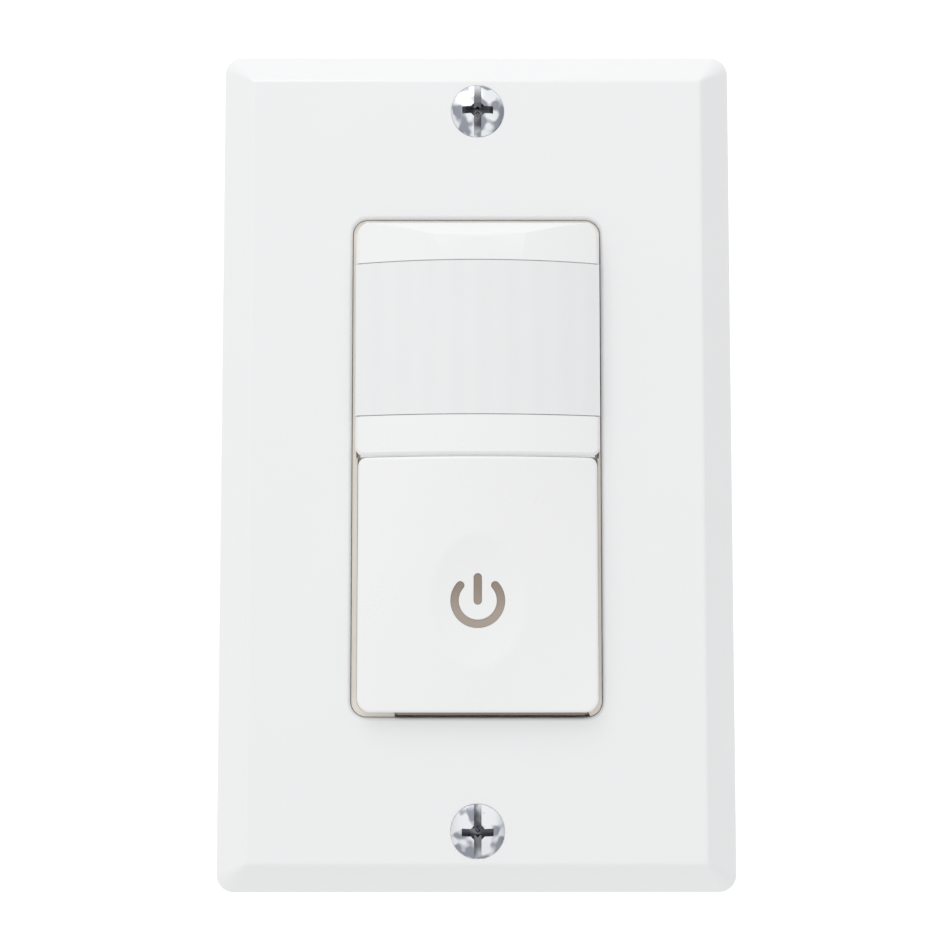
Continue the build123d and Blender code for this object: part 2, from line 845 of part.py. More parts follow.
# Infrared sensor: a flanged metal can
with BuildPart() as pir_sensor:
    with BuildSketch(inside(sensor_board_depth)):
        with Locations((0, lens_middle)):
            RegularPolygon(pir_base_diameter / 2, fine_round_sides)
    extrude(amount=pir_base_thickness)
    with BuildSketch(inside(sensor_board_depth)):
        with Locations((0, lens_middle)):
            RegularPolygon(pir_can_diameter / 2, fine_round_sides)
    extrude(amount=pir_can_height)
save(pir_sensor, "pir_sensor")

with BuildPart() as daylight_sensor:
    with BuildSketch(inside(sensor_board_depth)):
        with Locations((daylight_offset, lens_middle)):
            disc(daylight_diameter)
    extrude(amount=daylight_height)
save(daylight_sensor, "daylight_sensor")

with BuildPart() as indicator_led:
    with BuildSketch(inside(sensor_board_depth)):
        with Locations((0, dish_centre)):
            disc(led_collar_diameter)
    extrude(amount=led_collar_height)
    with BuildSketch(inside(sensor_board_depth)):
        with Locations((0, dish_centre)):
            disc(led_diameter)
    extrude(amount=led_height)
    chamfer(indicator_led.faces().sort_by(Axis.Y)[0].edges(), length=led_chamfer)
save(indicator_led, "indicator_led")

# Tact switch body and the plunger that slides in it
tact_front_depth = sensor_board_depth - tact_body_height
with BuildPart() as tact_switch:
    with BuildSketch(inside(sensor_board_depth)):
        with Locations((0, tact_rise)):
            Rectangle(tact_width, tact_width)
    extrude(amount=tact_body_height)
    with BuildSketch(inside(tact_front_depth)):
        with Locations((0, tact_rise)):
            Circle(tact_plunger_diameter / 2 + running_clearance)
    extrude(amount=-tact_plunger_hidden - tact_travel_room, mode=Mode.SUBTRACT)
save(tact_switch, "tact_switch")

with BuildPart() as switch_plunger:
    with BuildSketch(inside(tact_front_depth + tact_plunger_hidden)):
        with Locations((0, tact_rise)):
            Circle(tact_plunger_diameter / 2)
    extrude(amount=tact_plunger_hidden + tact_plunger_reach)
save(switch_plunger, "switch_plunger")

# Trimmers: square bodies on the board, each with a bore for its dial's shaft
trimmer_front_depth = sensor_board_depth - trimmer_height
dial_back_depth = trimmer_front_depth - seat_gap
with BuildPart() as trimmer_bodies:
    with BuildSketch(inside(sensor_board_depth)):
        with Locations(*dial_places):
            Rectangle(trimmer_width, trimmer_width)
    extrude(amount=trimmer_height)
    with BuildSketch(inside(trimmer_front_depth)):
        with Locations(*dial_places):
            disc(dial_shaft_diameter + 2 * seat_gap)
    extrude(amount=-dial_shaft_length - seat_gap, mode=Mode.SUBTRACT)
save(trimmer_bodies, "trimmer_bodies")

for name, place in zip(("time_dial", "range_dial", "light_dial"), dial_places):
    with BuildPart() as dial:
        with BuildSketch(inside(dial_back_depth)):
            with Locations(place):
                disc(dial_diameter)
        extrude(amount=dial_height)
        with BuildSketch(inside(dial_back_depth)):
            with Locations(place):
                disc(dial_shaft_diameter)
        extrude(amount=-dial_shaft_length - seat_gap)
        with BuildSketch(inside(dial_back_depth - dial_height)):
            with Locations(place):
                Rectangle(dial_slot_width, dial_slot_length)
        extrude(amount=-dial_slot_depth, mode=Mode.SUBTRACT)
    save(dial, name)

# Controller chip behind the sensor board, with a row of legs on each side
leg_pitch = chip_length / chip_leg_count
with BuildPart() as controller_chip:
    with BuildSketch(inside(sensor_board_back)):
        with Locations((0, hinge_rise - chip_lever)):
            Rectangle(chip_length, chip_width)
    extrude(amount=-chip_height)
    with BuildSketch(inside(sensor_board_back)):
        with Locations((0, hinge_rise - chip_lever)):
            with GridLocations(leg_pitch, 0, chip_leg_count, 1):
                Rectangle(chip_leg_width, chip_width + 2 * chip_leg_reach)
    extrude(amount=-chip_leg_thickness)
save(controller_chip, "controller_chip")


def funnel(wall):
    """A solid funnel from the frame's floor to the lens, grown by a wall on its four sides."""
    low = -frame_floor_front_depth
    high = face_edge_height - lens_thickness - hood_lens_gap
    with BuildPart() as solid:
        with BuildSketch(level(lens_middle)):
            with BuildLine():
                throat = hood_throat_width / 2 + wall
                mouth = hood_mouth_width / 2 + wall
                Polyline(
                    (-throat, -low), (throat, -low), (mouth, -high), (-mouth, -high), close=True
                )
            make_face()
        extrude(amount=hood_mouth_height, both=True)
        with BuildSketch(Plane.YZ):
            with BuildLine():
                throat = hood_throat_height / 2 + wall
                mouth = hood_mouth_height / 2 + wall
                Polyline(
                    (-low, lens_middle - throat),
                    (-low, lens_middle + throat),
                    (-high, lens_middle + mouth),
                    (-high, lens_middle - mouth),
                    close=True,
                )
            make_face()
        extrude(amount=hood_mouth_width, both=True, mode=Mode.INTERSECT)
    return solid.part


# Sensor hood: a dark funnel from the infrared sensor to the lens
with BuildPart() as sensor_hood:
    add(funnel(hood_wall))
    add(funnel(0), mode=Mode.SUBTRACT)
save(sensor_hood, "sensor_hood")

# Board header: a block on each board and the pins between them
header_rise = sensor_board_height / 2 - header_inset
with BuildPart() as board_header:
    for depth in (sensor_board_back + header_block_height, main_board_depth):
        with BuildSketch(inside(depth)):
            with Locations((0, header_rise)):
                Rectangle(header_pin_count * header_pitch, header_block_width)
        extrude(amount=header_block_height)
    with BuildSketch(inside(main_board_depth)):
        with Locations((0, header_rise)):
            with GridLocations(header_pitch, 0, header_pin_count, 1):
                Rectangle(header_pin_width, header_pin_width)
    extrude(amount=main_board_depth - sensor_board_back)
save(board_header, "board_header")

# Main board: its corners are cut away for the screw towers
with BuildPart() as main_board:
    with BuildSketch(inside(main_board_back)):
        Rectangle(main_board_width, main_board_height)
        with GridLocations(main_board_width, main_board_height, 2, 2):
            Rectangle(
                main_board_width - tower_spread_x + tower_diameter + 2 * hole_clearance,
                main_board_height - tower_spread_z + tower_diameter + 2 * hole_clearance,
                mode=Mode.SUBTRACT,
            )
    extrude(amount=board_thickness)
save(main_board, "main_board")

# Parts on the main board: one column each side, filled from the header down and from the foot up
part_limit = bay_half_width - part_gap
column_top = header_rise - header_block_width / 2 - part_gap
column_foot = main_board_foot - main_board_height / 2
relay_place = (relay_width / 2 - part_limit, column_foot + relay_length / 2)
film_place = (part_limit - film_length / 2, column_top - film_width / 2)
choke_rise = column_top - film_width - part_gap - choke_diameter / 2
choke_place = (part_limit - choke_diameter / 2, choke_rise)
fuse_place = (fuse_length / 2 - part_limit, column_top - fuse_diameter / 2)
varistor_rise = column_top - fuse_diameter - part_gap - varistor_thickness / 2
varistor_place = (varistor_diameter / 2 - part_limit, varistor_rise)
can_side = part_limit - can_diameter / 2
can_places = [
    (can_side, column_foot + can_diameter / 2),
    (can_side, column_foot + can_diameter + can_gap + can_diameter / 2),
]

with BuildPart() as relay:
    with BuildSketch(inside(main_board_depth)):
        with Locations(relay_place):
            Rectangle(relay_width, relay_length)
    extrude(amount=relay_height)
    chamfer(relay.faces().sort_by(Axis.Y)[0].edges(), length=relay_chamfer)
save(relay, "relay")

with BuildPart() as film_capacitor:
    with BuildSketch(inside(main_board_depth)):
        with Locations(film_place):
            Rectangle(film_length, film_width)
    extrude(amount=film_height)
    chamfer(film_capacitor.faces().sort_by(Axis.Y)[0].edges(), length=relay_chamfer)
save(film_capacitor, "film_capacitor")

with BuildPart() as filter_capacitors:
    with BuildSketch(inside(main_board_depth)):
        with Locations(*can_places):
            RegularPolygon(can_diameter / 2, fine_round_sides)
    extrude(amount=can_height)
    chamfer(filter_capacitors.faces().group_by(Axis.Y)[0].edges(), length=can_chamfer)
save(filter_capacitors, "filter_capacitors")

with BuildPart() as choke:
    with BuildSketch(inside(main_board_depth)):
        with Locations(choke_place):
            disc(choke_core_diameter)
    extrude(amount=choke_height)
    for depth in (main_board_depth, main_board_depth - choke_height + choke_flange):
        with BuildSketch(inside(depth)):
            with Locations(choke_place):
                RegularPolygon(choke_diameter / 2, fine_round_sides)
        extrude(amount=choke_flange)
save(choke, "choke")

varistor_centre_depth = main_board_depth - varistor_lead - varistor_diameter / 2
with BuildPart() as varistor:
    with BuildSketch(level(varistor_rise - varistor_thickness / 2)):
        with Locations((varistor_place[0], varistor_centre_depth)):
            RegularPolygon(varistor_diameter / 2, fine_round_sides)
    extrude(amount=varistor_thickness)
    with BuildSketch(inside(main_board_depth)):
        with Locations(varistor_place):
            with GridLocations(varistor_diameter / 2, 0, 2, 1):
                Rectangle(wire_width, wire_width)
    extrude(amount=varistor_lead + varistor_diameter / 2)
save(varistor, "varistor")

fuse_centre_depth = main_board_depth - fuse_lead - fuse_diameter / 2
with BuildPart() as fuse_resistor:
    with BuildSketch(Plane.YZ.offset(fuse_place[0] - fuse_length / 2)):
        with Locations((fuse_centre_depth, fuse_place[1])):
            disc(fuse_diameter)
    extrude(amount=fuse_length)
    with BuildSketch(inside(main_board_depth)):
        with Locations(fuse_place):
            with GridLocations(fuse_length - 2 * wire_width, 0, 2, 1):
                Rectangle(wire_width, wire_width)
    extrude(amount=fuse_lead + fuse_diameter / 2)
save(fuse_resistor, "fuse_resistor")


def side_plane(side, x):
    """The upright plane on the left (-1) or right (1) side at a distance from the middle."""
    return Plane.YZ.offset(side * x)


def terminal_places(depth):
    """The places of one side's two terminals at a depth behind the wall."""
    return Locations((depth, terminal_spread / 2), (depth, -terminal_spread / 2))


# Rear housing: a deep cup with screw towers, board posts, vents and the terminal pockets
terminal_bore = machine_screw_diameter + 2 * seat_gap
tab_depth = terminal_depth + terminal_tab_offset
with BuildPart() as rear_housing:
    with BuildSketch(inside(0)):
        RectangleRounded(housing_width, housing_height, housing_corner_radius)
    extrude(amount=-housing_depth)
    chamfer(rear_housing.faces().sort_by(Axis.Y)[-1].edges(), length=housing_back_chamfer)
    with BuildSketch(inside(0)):
        Rectangle(housing_width - 2 * housing_wall, housing_height - 2 * housing_wall)
    extrude(amount=-housing_floor_depth, mode=Mode.SUBTRACT)
    with BuildSketch(inside(frame_boss_depth)):
        with tower_grid():
            disc(tower_diameter)
    extrude(amount=frame_boss_depth - housing_floor_depth)
    with BuildSketch(inside(main_board_back)):
        with GridLocations(board_post_spread_x, board_post_spread_z, 2, 2):
            Rectangle(board_post_diameter, board_post_diameter)
    extrude(amount=main_board_back - housing_floor_depth)
    for side in (-1, 1):
        with BuildSketch(side_plane(side, pocket_back)):
            with terminal_places(terminal_depth):
                pocket_width = terminal_opening + 2 * terminal_wall
                Rectangle(pocket_width, pocket_width)
        extrude(amount=side * (housing_width / 2 - housing_wall - pocket_back))
    for side in (-1, 1):
        with BuildSketch(side_plane(side, pocket_floor)):
            with terminal_places(terminal_depth):
                Rectangle(terminal_opening, terminal_opening)
        extrude(amount=side * (terminal_recess + overrun), mode=Mode.SUBTRACT)
        with BuildSketch(side_plane(side, pocket_floor)):
            with terminal_places(terminal_depth):
                disc(terminal_bore)
        extrude(amount=-side * (terminal_screw_bite + seat_gap), mode=Mode.SUBTRACT)
        with BuildSketch(side_plane(side, pocket_floor)):
            with terminal_places(tab_depth):
                Rectangle(
                    terminal_plate_thickness + 2 * seat_gap, terminal_tab_width + 2 * seat_gap
                )
        extrude(amount=-side * terminal_wall, mode=Mode.SUBTRACT)
    with BuildSketch(inside(frame_boss_depth)):
        with tower_grid():
            disc(housing_screw_diameter + 2 * seat_gap)
    extrude(amount=frame_boss_depth - housing_depth, mode=Mode.SUBTRACT)
    with BuildSketch(inside(housing_screw_head_depth)):
        with tower_grid():
            disc(housing_screw_head_diameter + 2 * hole_clearance)
    extrude(amount=housing_screw_head_depth - housing_depth, mode=Mode.SUBTRACT)
    with BuildSketch(inside(housing_floor_depth)):
        with GridLocations(0, vent_pitch, 1, vent_count):
            Rectangle(vent_length, vent_width)
    extrude(amount=-housing_wall, mode=Mode.SUBTRACT)
save(rear_housing, "rear_housing")

# Housing screws: driven from the back, deep in the towers, into the frame's bosses
with BuildPart() as housing_screws:
    screw_tip_depth = frame_boss_depth - housing_screw_bite + seat_gap
    with BuildSketch(inside(screw_tip_depth)):
        with tower_grid():
            disc(housing_screw_diameter)
    extrude(amount=screw_tip_depth - housing_screw_head_depth)
    with BuildSketch(inside(housing_screw_head_depth)):
        with tower_grid():
            disc(housing_screw_head_diameter)
    extrude(amount=-housing_screw_head_height)
save(housing_screws, "housing_screws")


def terminal_plate(side, rise):
    """One clamp plate on its pocket's floor, with the tab that reaches into the housing."""
    with BuildPart() as plate:
        with BuildSketch(side_plane(side, pocket_floor)):
            with Locations((terminal_depth, rise)):
                Rectangle(terminal_plate_width, terminal_plate_width)
                RegularPolygon(terminal_bore / 2, round_sides, mode=Mode.SUBTRACT)
        extrude(amount=side * terminal_plate_thickness)
        with BuildSketch(side_plane(side, pocket_floor)):
            with Locations((tab_depth, rise)):
                Rectangle(terminal_plate_thickness, terminal_tab_width)
        extrude(amount=-side * (terminal_wall + terminal_tab_reach))
    return plate.part


def terminal_screw(side, rise):
    """One binding screw: a round head outside the plate and a shank through it."""
    head_seat = pocket_floor + terminal_plate_thickness
    with BuildPart() as screw:
        with BuildSketch(side_plane(side, head_seat)):
            with Locations((terminal_depth, rise)):
                RegularPolygon(terminal_screw_head_diameter / 2, fine_round_sides)
        extrude(amount=side * terminal_screw_head_height)
        with BuildSketch(side_plane(side, head_seat)):
            with Locations((terminal_depth, rise)):
                disc(machine_screw_diameter)
        extrude(amount=-side * (terminal_plate_thickness + terminal_screw_bite))
    return screw.part


# Terminals: clamp plates with tabs through the pocket floors, and their binding screws
terminal_rises = (terminal_spread / 2, -terminal_spread / 2)
with BuildPart() as line_terminals:
    for rise in terminal_rises:
        add(terminal_plate(-1, rise))
save(line_terminals, "line_terminals")

with BuildPart() as line_screws:
    for rise in terminal_rises:
        add(terminal_screw(-1, rise))
save(line_screws, "line_screws")

for name, rise in zip(("neutral", "ground"), terminal_rises):
    with BuildPart() as plate_piece:
        add(terminal_plate(1, rise))
    save(plate_piece, f"{name}_terminal")
    with BuildPart() as screw_piece:
        add(terminal_screw(1, rise))
    save(screw_piece, f"{name}_screw")
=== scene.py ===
# %% [markdown]
# A motion sensor light switch, dressed in Blender over its exact solids. Everything is in metres,
# with +X right, +Z up and -Y out of the wall. The solids give every piece its place and size, and
# the steps below give them soft edges, finishes, threads and drives.

# %% Load the solids and keep their box
import json
import math
import bmesh
import bpy
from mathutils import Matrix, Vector


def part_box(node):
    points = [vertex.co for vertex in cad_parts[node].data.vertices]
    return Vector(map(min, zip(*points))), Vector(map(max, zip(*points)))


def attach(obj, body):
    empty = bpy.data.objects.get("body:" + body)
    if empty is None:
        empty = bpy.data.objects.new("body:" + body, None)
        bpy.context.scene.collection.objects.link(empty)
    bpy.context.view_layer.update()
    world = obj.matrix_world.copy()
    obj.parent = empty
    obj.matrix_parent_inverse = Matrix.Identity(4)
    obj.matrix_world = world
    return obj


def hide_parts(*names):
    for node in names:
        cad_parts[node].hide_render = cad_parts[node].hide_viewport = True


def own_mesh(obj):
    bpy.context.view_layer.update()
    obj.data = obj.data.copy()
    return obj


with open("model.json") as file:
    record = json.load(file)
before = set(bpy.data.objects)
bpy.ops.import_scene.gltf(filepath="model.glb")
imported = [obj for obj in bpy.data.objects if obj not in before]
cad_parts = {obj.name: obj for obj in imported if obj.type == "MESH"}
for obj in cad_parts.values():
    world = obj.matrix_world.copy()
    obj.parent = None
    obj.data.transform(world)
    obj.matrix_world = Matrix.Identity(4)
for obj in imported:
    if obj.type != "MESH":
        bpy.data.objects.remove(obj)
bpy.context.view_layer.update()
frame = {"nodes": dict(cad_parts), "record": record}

MM = 0.001
nodes = frame["nodes"]
body_of_node = {n: b for b, names in frame["record"]["behaviour"]["bodies"].items() for n in names}
slot_of_node = {s["node"]: s["material_slot"] for s in frame["record"]["subparts"]}

# %% [markdown]
# Some sizes are needed by more than one step: those of the plate with its two screws, and those of
# the face, which is the sensor's head and the paddle together. They were read from the photograph
# through one fitted camera. Written once, in millimetres, they keep holes, screws and finishes in line.

# %% Sizes that several pieces share
PLATE_FACE, PLATE_X = 5.6, -0.15
PLATE_HALF, OPENING_HALF = (34.925, 57.15), (16.8, 33.55)
SCREW_Z, HEAD_RADIUS, CROWN = 48.42, 3.55, 0.9
FACE_HALF, FACE_EDGE, FACE_BULGE = 16.3, 7.4, 3.0
SPRING_X, SPRING_Z = 11.5, -17.0
print("plate screws apart:", 2 * SCREW_Z, "opening:", [2 * half for half in OPENING_HALF])

# %% [markdown]
# Materials and node trees are easier to read as sums. This small class wraps one socket, so that
# 1 - mask or wave * 0.5 adds the Math nodes by itself. It could also be done by hand, node by node,
# but a long tree is then hard to follow.


# %% A socket that takes part in sums
class Wire:
    """One socket of a node tree, as a value."""

    def __init__(self, tree, socket):
        self.tree, self.socket = tree, socket

    def math(self, operation, *others):
        links = {i: value for i, value in enumerate((self, *others))}
        return self.tree.add("ShaderNodeMath", {"operation": operation}, links)

    def __add__(self, other):
        return self.math("ADD", other)

    def __sub__(self, other):
        return self.math("SUBTRACT", other)

    def __rsub__(self, other):
        return self.tree.add("ShaderNodeMath", {"operation": "SUBTRACT"}, {0: other, 1: self})

    def __mul__(self, other):
        return self.math("MULTIPLY", other)

    def __truediv__(self, other):
        return self.math("DIVIDE", other)

    __radd__, __rmul__ = __add__, __mul__

    def held(self):
        """The same value, kept between 0 and 1."""
        wire = self.math("ADD", 0.0)
        wire.socket.node.use_clamp = True
        return wire


class Tree:
    """A node tree that takes new nodes in one line each."""

    def __init__(self, node_tree):
        self.nodes, self.links = node_tree.nodes, node_tree.links

    def add(self, kind, settings=None, inputs=None, out=0):
        node = self.nodes.new(kind)
        for key, value in (settings or {}).items():
            setattr(node, key, value)
        for key, value in (inputs or {}).items():
            if isinstance(value, Wire):
                self.links.new(value.socket, node.inputs[key])
            else:
                node.inputs[key].default_value = value
        return Wire(self, node.outputs[out])

    def place(self, scale=(1, 1, 1)):
        """The point on the piece in millimetres, stretched by a scale."""
        point = self.add("ShaderNodeTexCoord", out="Object")
        factors = tuple(s / MM for s in scale)
        settings = {"operation": "MULTIPLY"}
        return self.add("ShaderNodeVectorMath", settings, {0: point, 1: factors})

    def noise(self, size, detail=3, scale=(1, 1, 1)):
        """Soft clouds whose patches have about this size in millimetres."""
        inputs = {"Vector": self.place(scale), "Scale": 1 / size, "Detail": detail}
        return self.add("ShaderNodeTexNoise", None, inputs)

    def mix(self, factor, first, second):
        inputs = {"Factor": factor, 6: first, 7: second}
        return self.add("ShaderNodeMix", {"data_type": "RGBA"}, inputs, out=2)


# %% [markdown]
# Every finish has the same three layers that a camera sees: a slow drift of colour, a fine grain
# that breaks up the gloss, and a low relief. Their sizes differ: moulded plastic is nearly smooth,
# plated steel is streaked along its length, and the back case is sparked rough.

# %% One maker of finishes
CLOUD_SIZE, GRAIN_GLOSS, CLOUD_GLOSS, COAT_ROUGHNESS = 9.0, 0.12, 0.08, 0.2
finishes = {}


def finish(name, colour, rough, metal=0.0, coat=0.0, drift=0.03, relief=0.02, size=0.25,
           streak=(1, 1, 1), pattern=None):
    """Make a finish of three layers. A pattern may change its colour and its relief."""
    material = bpy.data.materials.new(name)
    material.use_nodes = True
    tree = Tree(material.node_tree)
    shader = tree.nodes["Principled BSDF"]
    cloud, grain = tree.noise(CLOUD_SIZE, 2, streak), tree.noise(size, 4, streak)
    dark = tuple(c * (1 - 2 * drift) for c in colour) + (1,)
    light = tuple(min(1, c * (1 + drift)) for c in colour) + (1,)
    base = tree.mix((cloud * 0.7 + grain * 0.3).held(), dark, light)
    roughness = rough + (grain - 0.5) * GRAIN_GLOSS + (cloud - 0.5) * CLOUD_GLOSS
    height = grain
    if pattern:
        base, height = pattern(tree, base, grain)
    bump = tree.add("ShaderNodeBump", None, {"Strength": 0.5, "Distance": relief * MM, "Height": height})
    tree.links.new(base.socket, shader.inputs["Base Color"])
    tree.links.new(roughness.held().socket, shader.inputs["Roughness"])
    tree.links.new(bump.socket, shader.inputs["Normal"])
    shader.inputs["Metallic"].default_value = metal
    shader.inputs["Coat Weight"].default_value = coat
    shader.inputs["Coat Roughness"].default_value = COAT_ROUGHNESS
    finishes[name] = material


# %% [markdown]
# Five finishes carry a pattern of their own, worked out from the point on the piece. A picture could
# do the same, but a rule stays sharp from near by and needs no map of the surface.


# %% Patterns that some finishes add
def axis_of(tree, axis):
    """One coordinate of the point on the piece, in millimetres."""
    return tree.add("ShaderNodeSeparateXYZ", None, {0: tree.place()}, out=axis)


def stripes(tree, axis, pitch):
    """Soft stripes across one axis, from 0 to 1, with a pitch in millimetres."""
    return (axis_of(tree, axis) * (math.tau / pitch)).math("SINE") * 0.5 + 0.5


def lens_columns(tree, base, grain, column=3.6, row=0.9):
    """Upright facets moulded inside the milky lens show through it as soft, wide stripes."""
    columns, rows = stripes(tree, "X", column), stripes(tree, "Z", row)
    darker = tree.mix(columns * 0.07, base, (0.66, 0.68, 0.70, 1))
    return darker, grain * 0.2 + columns * 0.06 + rows * 0.03


def board_tracks(tree, base, grain, tracks=0.42, holes=0.37, hole_reach=0.28):
    """Copper tracks and ground areas under the green mask, so many cells in a millimetre."""
    settings = {"feature": "DISTANCE_TO_EDGE", "distance": "EUCLIDEAN"}
    inputs = {"Vector": tree.place(), "Scale": tracks, "Randomness": 0.35}
    track = (tree.add("ShaderNodeTexVoronoi", settings, inputs) * 9.0).held()
    dots = tree.add("ShaderNodeTexVoronoi", None, {"Vector": tree.place(), "Scale": holes})
    hole = dots.math("LESS_THAN", hole_reach)
    green = tree.mix(track, (0.015, 0.11, 0.045, 1), base)
    return tree.mix(hole, green, (0.62, 0.6, 0.5, 1)), track * 0.8 + hole + grain * 0.1


def winding(tree, base, grain, pitch=0.55):
    """Enamelled copper turns round the choke."""
    turns = stripes(tree, "Y", pitch)
    return tree.mix(turns, base, (0.55, 0.22, 0.07, 1)), turns


def painted_reflections_and_drive_shade(tree, base, grain, patch=2.1):
    """Painted reflections as dark bluish blotches on the two heads in sight, and painted shade inside
    their drives.
    """
    high = axis_of(tree, "Z").math("ABSOLUTE") - SCREW_Z
    reach = axis_of(tree, "X").math("POWER", 2.0) + high * high
    crown = (1 - reach * (1 / HEAD_RADIUS**2)) * CROWN
    # painted shade: the colour turns near black deep inside the drives
    painted_drive_shade = ((axis_of(tree, "Y") + PLATE_FACE + crown) * 1.5 - 0.12).held()
    # painted reflections: dark bluish blotches stand in for the room mirrored in the metal
    painted_reflection_blotches = ((tree.noise(patch, 1) - 0.5) * 11.0 + 0.35).held() * 0.75
    head_with_painted_reflections = tree.mix(painted_reflection_blotches, base, (0.13, 0.15, 0.20, 1))
    return tree.mix(painted_drive_shade * 0.8, head_with_painted_reflections, (0.03, 0.03, 0.04, 1)), grain


def window_with_painted_shade(tree, base, grain, low=-19.5):
    """The smoky window is darker behind the bar at its top than in the lower ring: painted shade."""
    # painted shade: the colour darkens towards the top of the window
    high = ((axis_of(tree, "Z") - low) * 0.3).held()
    return tree.mix(high * 0.8, base, (0.26, 0.205, 0.165, 1)), grain


# %% The finishes in sight
finish("plate_white", (0.845, 0.85, 0.855), 0.34, coat=0.25, drift=0.006, relief=0.006)
finish("device_white", (0.86, 0.863, 0.866), 0.3, coat=0.3, drift=0.006, relief=0.006)
finish("milky_lens", (0.815, 0.822, 0.826), 0.42, coat=0.1, drift=0.008, relief=0.05, size=0.5,
       pattern=lens_columns)
finish("smoky_guide", (0.27, 0.21, 0.165), 0.35, coat=0.4, drift=0.12)
finish("sign_window", (0.40, 0.335, 0.28), 0.4, coat=0.2, drift=0.1, pattern=window_with_painted_shade)
# The heads' finish carries painted reflections, and painted shade in the drives.
finish("head_zinc", (0.86, 0.88, 0.91), 0.2, metal=1.0, drift=0.05, size=0.12, relief=0.01,
       pattern=painted_reflections_and_drive_shade)
# The frame's cream tint is painted light: the warm bounce in the gaps, put into the colour of a white
# moulding.
finish("frame_cream", (0.85, 0.80, 0.72), 0.5, drift=0.03)
print("finishes:", len(finishes))

# %% The finishes behind the plate
ALONG_X, ALONG_Y, ALONG_Z = (0.06, 1, 1), (1, 0.06, 1), (1, 1, 0.06)
finish("bright_zinc", (0.80, 0.82, 0.86), 0.2, metal=1.0, drift=0.05, size=0.12, relief=0.01)
finish("strap_zinc", (0.60, 0.61, 0.62), 0.36, metal=1.0, drift=0.12, size=0.3, streak=ALONG_Z)
finish("fibre", (0.36, 0.16, 0.08), 0.8, drift=0.15, size=0.2, relief=0.05)
finish("spring_steel", (0.55, 0.56, 0.57), 0.28, metal=1.0, drift=0.08)
finish("board_green", (0.03, 0.21, 0.09), 0.38, coat=0.3, drift=0.08, pattern=board_tracks)
finish("sensor_can", (0.70, 0.66, 0.56), 0.24, metal=1.0, drift=0.06, streak=ALONG_X)
finish("clear_epoxy", (0.72, 0.74, 0.70), 0.12, coat=0.5, drift=0.04)
finish("led_green", (0.22, 0.52, 0.27), 0.14, coat=0.5, drift=0.06)
finish("black_plastic", (0.03, 0.03, 0.035), 0.48, drift=0.15, relief=0.03)
finish("plunger_grey", (0.25, 0.25, 0.26), 0.45, drift=0.06)
finish("trimmer_blue", (0.05, 0.16, 0.42), 0.42, drift=0.08)
finish("dial_white", (0.75, 0.75, 0.72), 0.4, drift=0.03)
finish("relay_blue", (0.05, 0.12, 0.36), 0.36, drift=0.08, relief=0.03)
finish("film_yellow", (0.74, 0.50, 0.08), 0.32, coat=0.2, drift=0.06)
finish("can_sleeve", (0.04, 0.06, 0.14), 0.3, coat=0.3, drift=0.1, streak=ALONG_Y)
finish("ferrite", (0.07, 0.07, 0.075), 0.55, drift=0.12, pattern=winding)
finish("varistor_blue", (0.06, 0.19, 0.48), 0.28, coat=0.4, drift=0.08, size=1.5)
finish("resistor_green", (0.24, 0.36, 0.29), 0.6, drift=0.1, relief=0.05)
finish("housing_grey", (0.055, 0.056, 0.06), 0.56, drift=0.2, size=0.35, relief=0.08)
finish("brass", (0.78, 0.57, 0.25), 0.26, metal=1.0, drift=0.12, size=0.2)
finish("tin", (0.70, 0.70, 0.71), 0.3, metal=1.0, drift=0.1, size=0.2)
finish("ground_green", (0.05, 0.30, 0.11), 0.3, metal=0.7, drift=0.12, size=0.2)
for name, piece in nodes.items():
    piece.data.materials.clear()
    piece.data.materials.append(finishes[slot_of_node[name]])
print("finishes:", len(finishes))

# %% [markdown]
# A real moulding or stamping has no knife edges: a small radius catches the light. The solids have
# sharp edges, so each hard piece gets a welded copy with a narrow bevel on its sharp edges. Filleting
# the solid would give the same look with many more faces.


# %% Helpers for finished pieces
def stand(name, data):
    """Put a mesh, a lamp or a camera into the scene."""
    thing = bpy.data.objects.new(name, data)
    bpy.context.scene.collection.objects.link(thing)
    return thing
def plain_mesh(thing):
    """The finished mesh of an object, with its modifiers worked in."""
    depsgraph = bpy.context.evaluated_depsgraph_get()
    mesh = bpy.data.meshes.new_from_object(thing.evaluated_get(depsgraph))
    thing.modifiers.clear()
    thing.data = mesh
    return mesh


def settle(thing, name, body):
    """Let a finished piece ride on its body and stand for its solid."""
    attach(thing, body)
    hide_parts(name)


def keep_flat(thing):
    """Shade large faces flat, so that the narrow ones between them carry the turn."""
    level = thing.modifiers.new("flat faces stay flat", "WEIGHTED_NORMAL")
    level.weight, level.keep_sharp = 100, True


# %% Soft edges for the hard pieces
SHARP, FLAT, WELD = math.radians(32), math.radians(0.5), 0.002 * MM


def soften(name, width):
    """Weld a copy of a solid and round its sharp edges by a width in millimetres."""
    welded = stand(name + "_finished", nodes[name].data.copy())
    work = bmesh.new()
    work.from_mesh(welded.data)
    bmesh.ops.remove_doubles(work, verts=work.verts, dist=WELD)
    bmesh.ops.dissolve_limit(work, angle_limit=FLAT, verts=work.verts, edges=work.edges)
    bmesh.ops.recalc_face_normals(work, faces=work.faces)
    work.to_mesh(welded.data)
    work.free()
    stored = welded.data.attributes.get("custom_normal")
    if stored:
        welded.data.attributes.remove(stored)
    bevel = welded.modifiers.new("soft edge", "BEVEL")
    bevel.width, bevel.segments = width * MM, 3
    bevel.limit_method, bevel.angle_limit = "ANGLE", SHARP
    welded.data.shade_smooth()
    welded.data.set_sharp_from_angle(angle=SHARP)
    keep_flat(welded)
    plain_mesh(welded)
    settle(welded, name, body_of_node[name])
    return welded


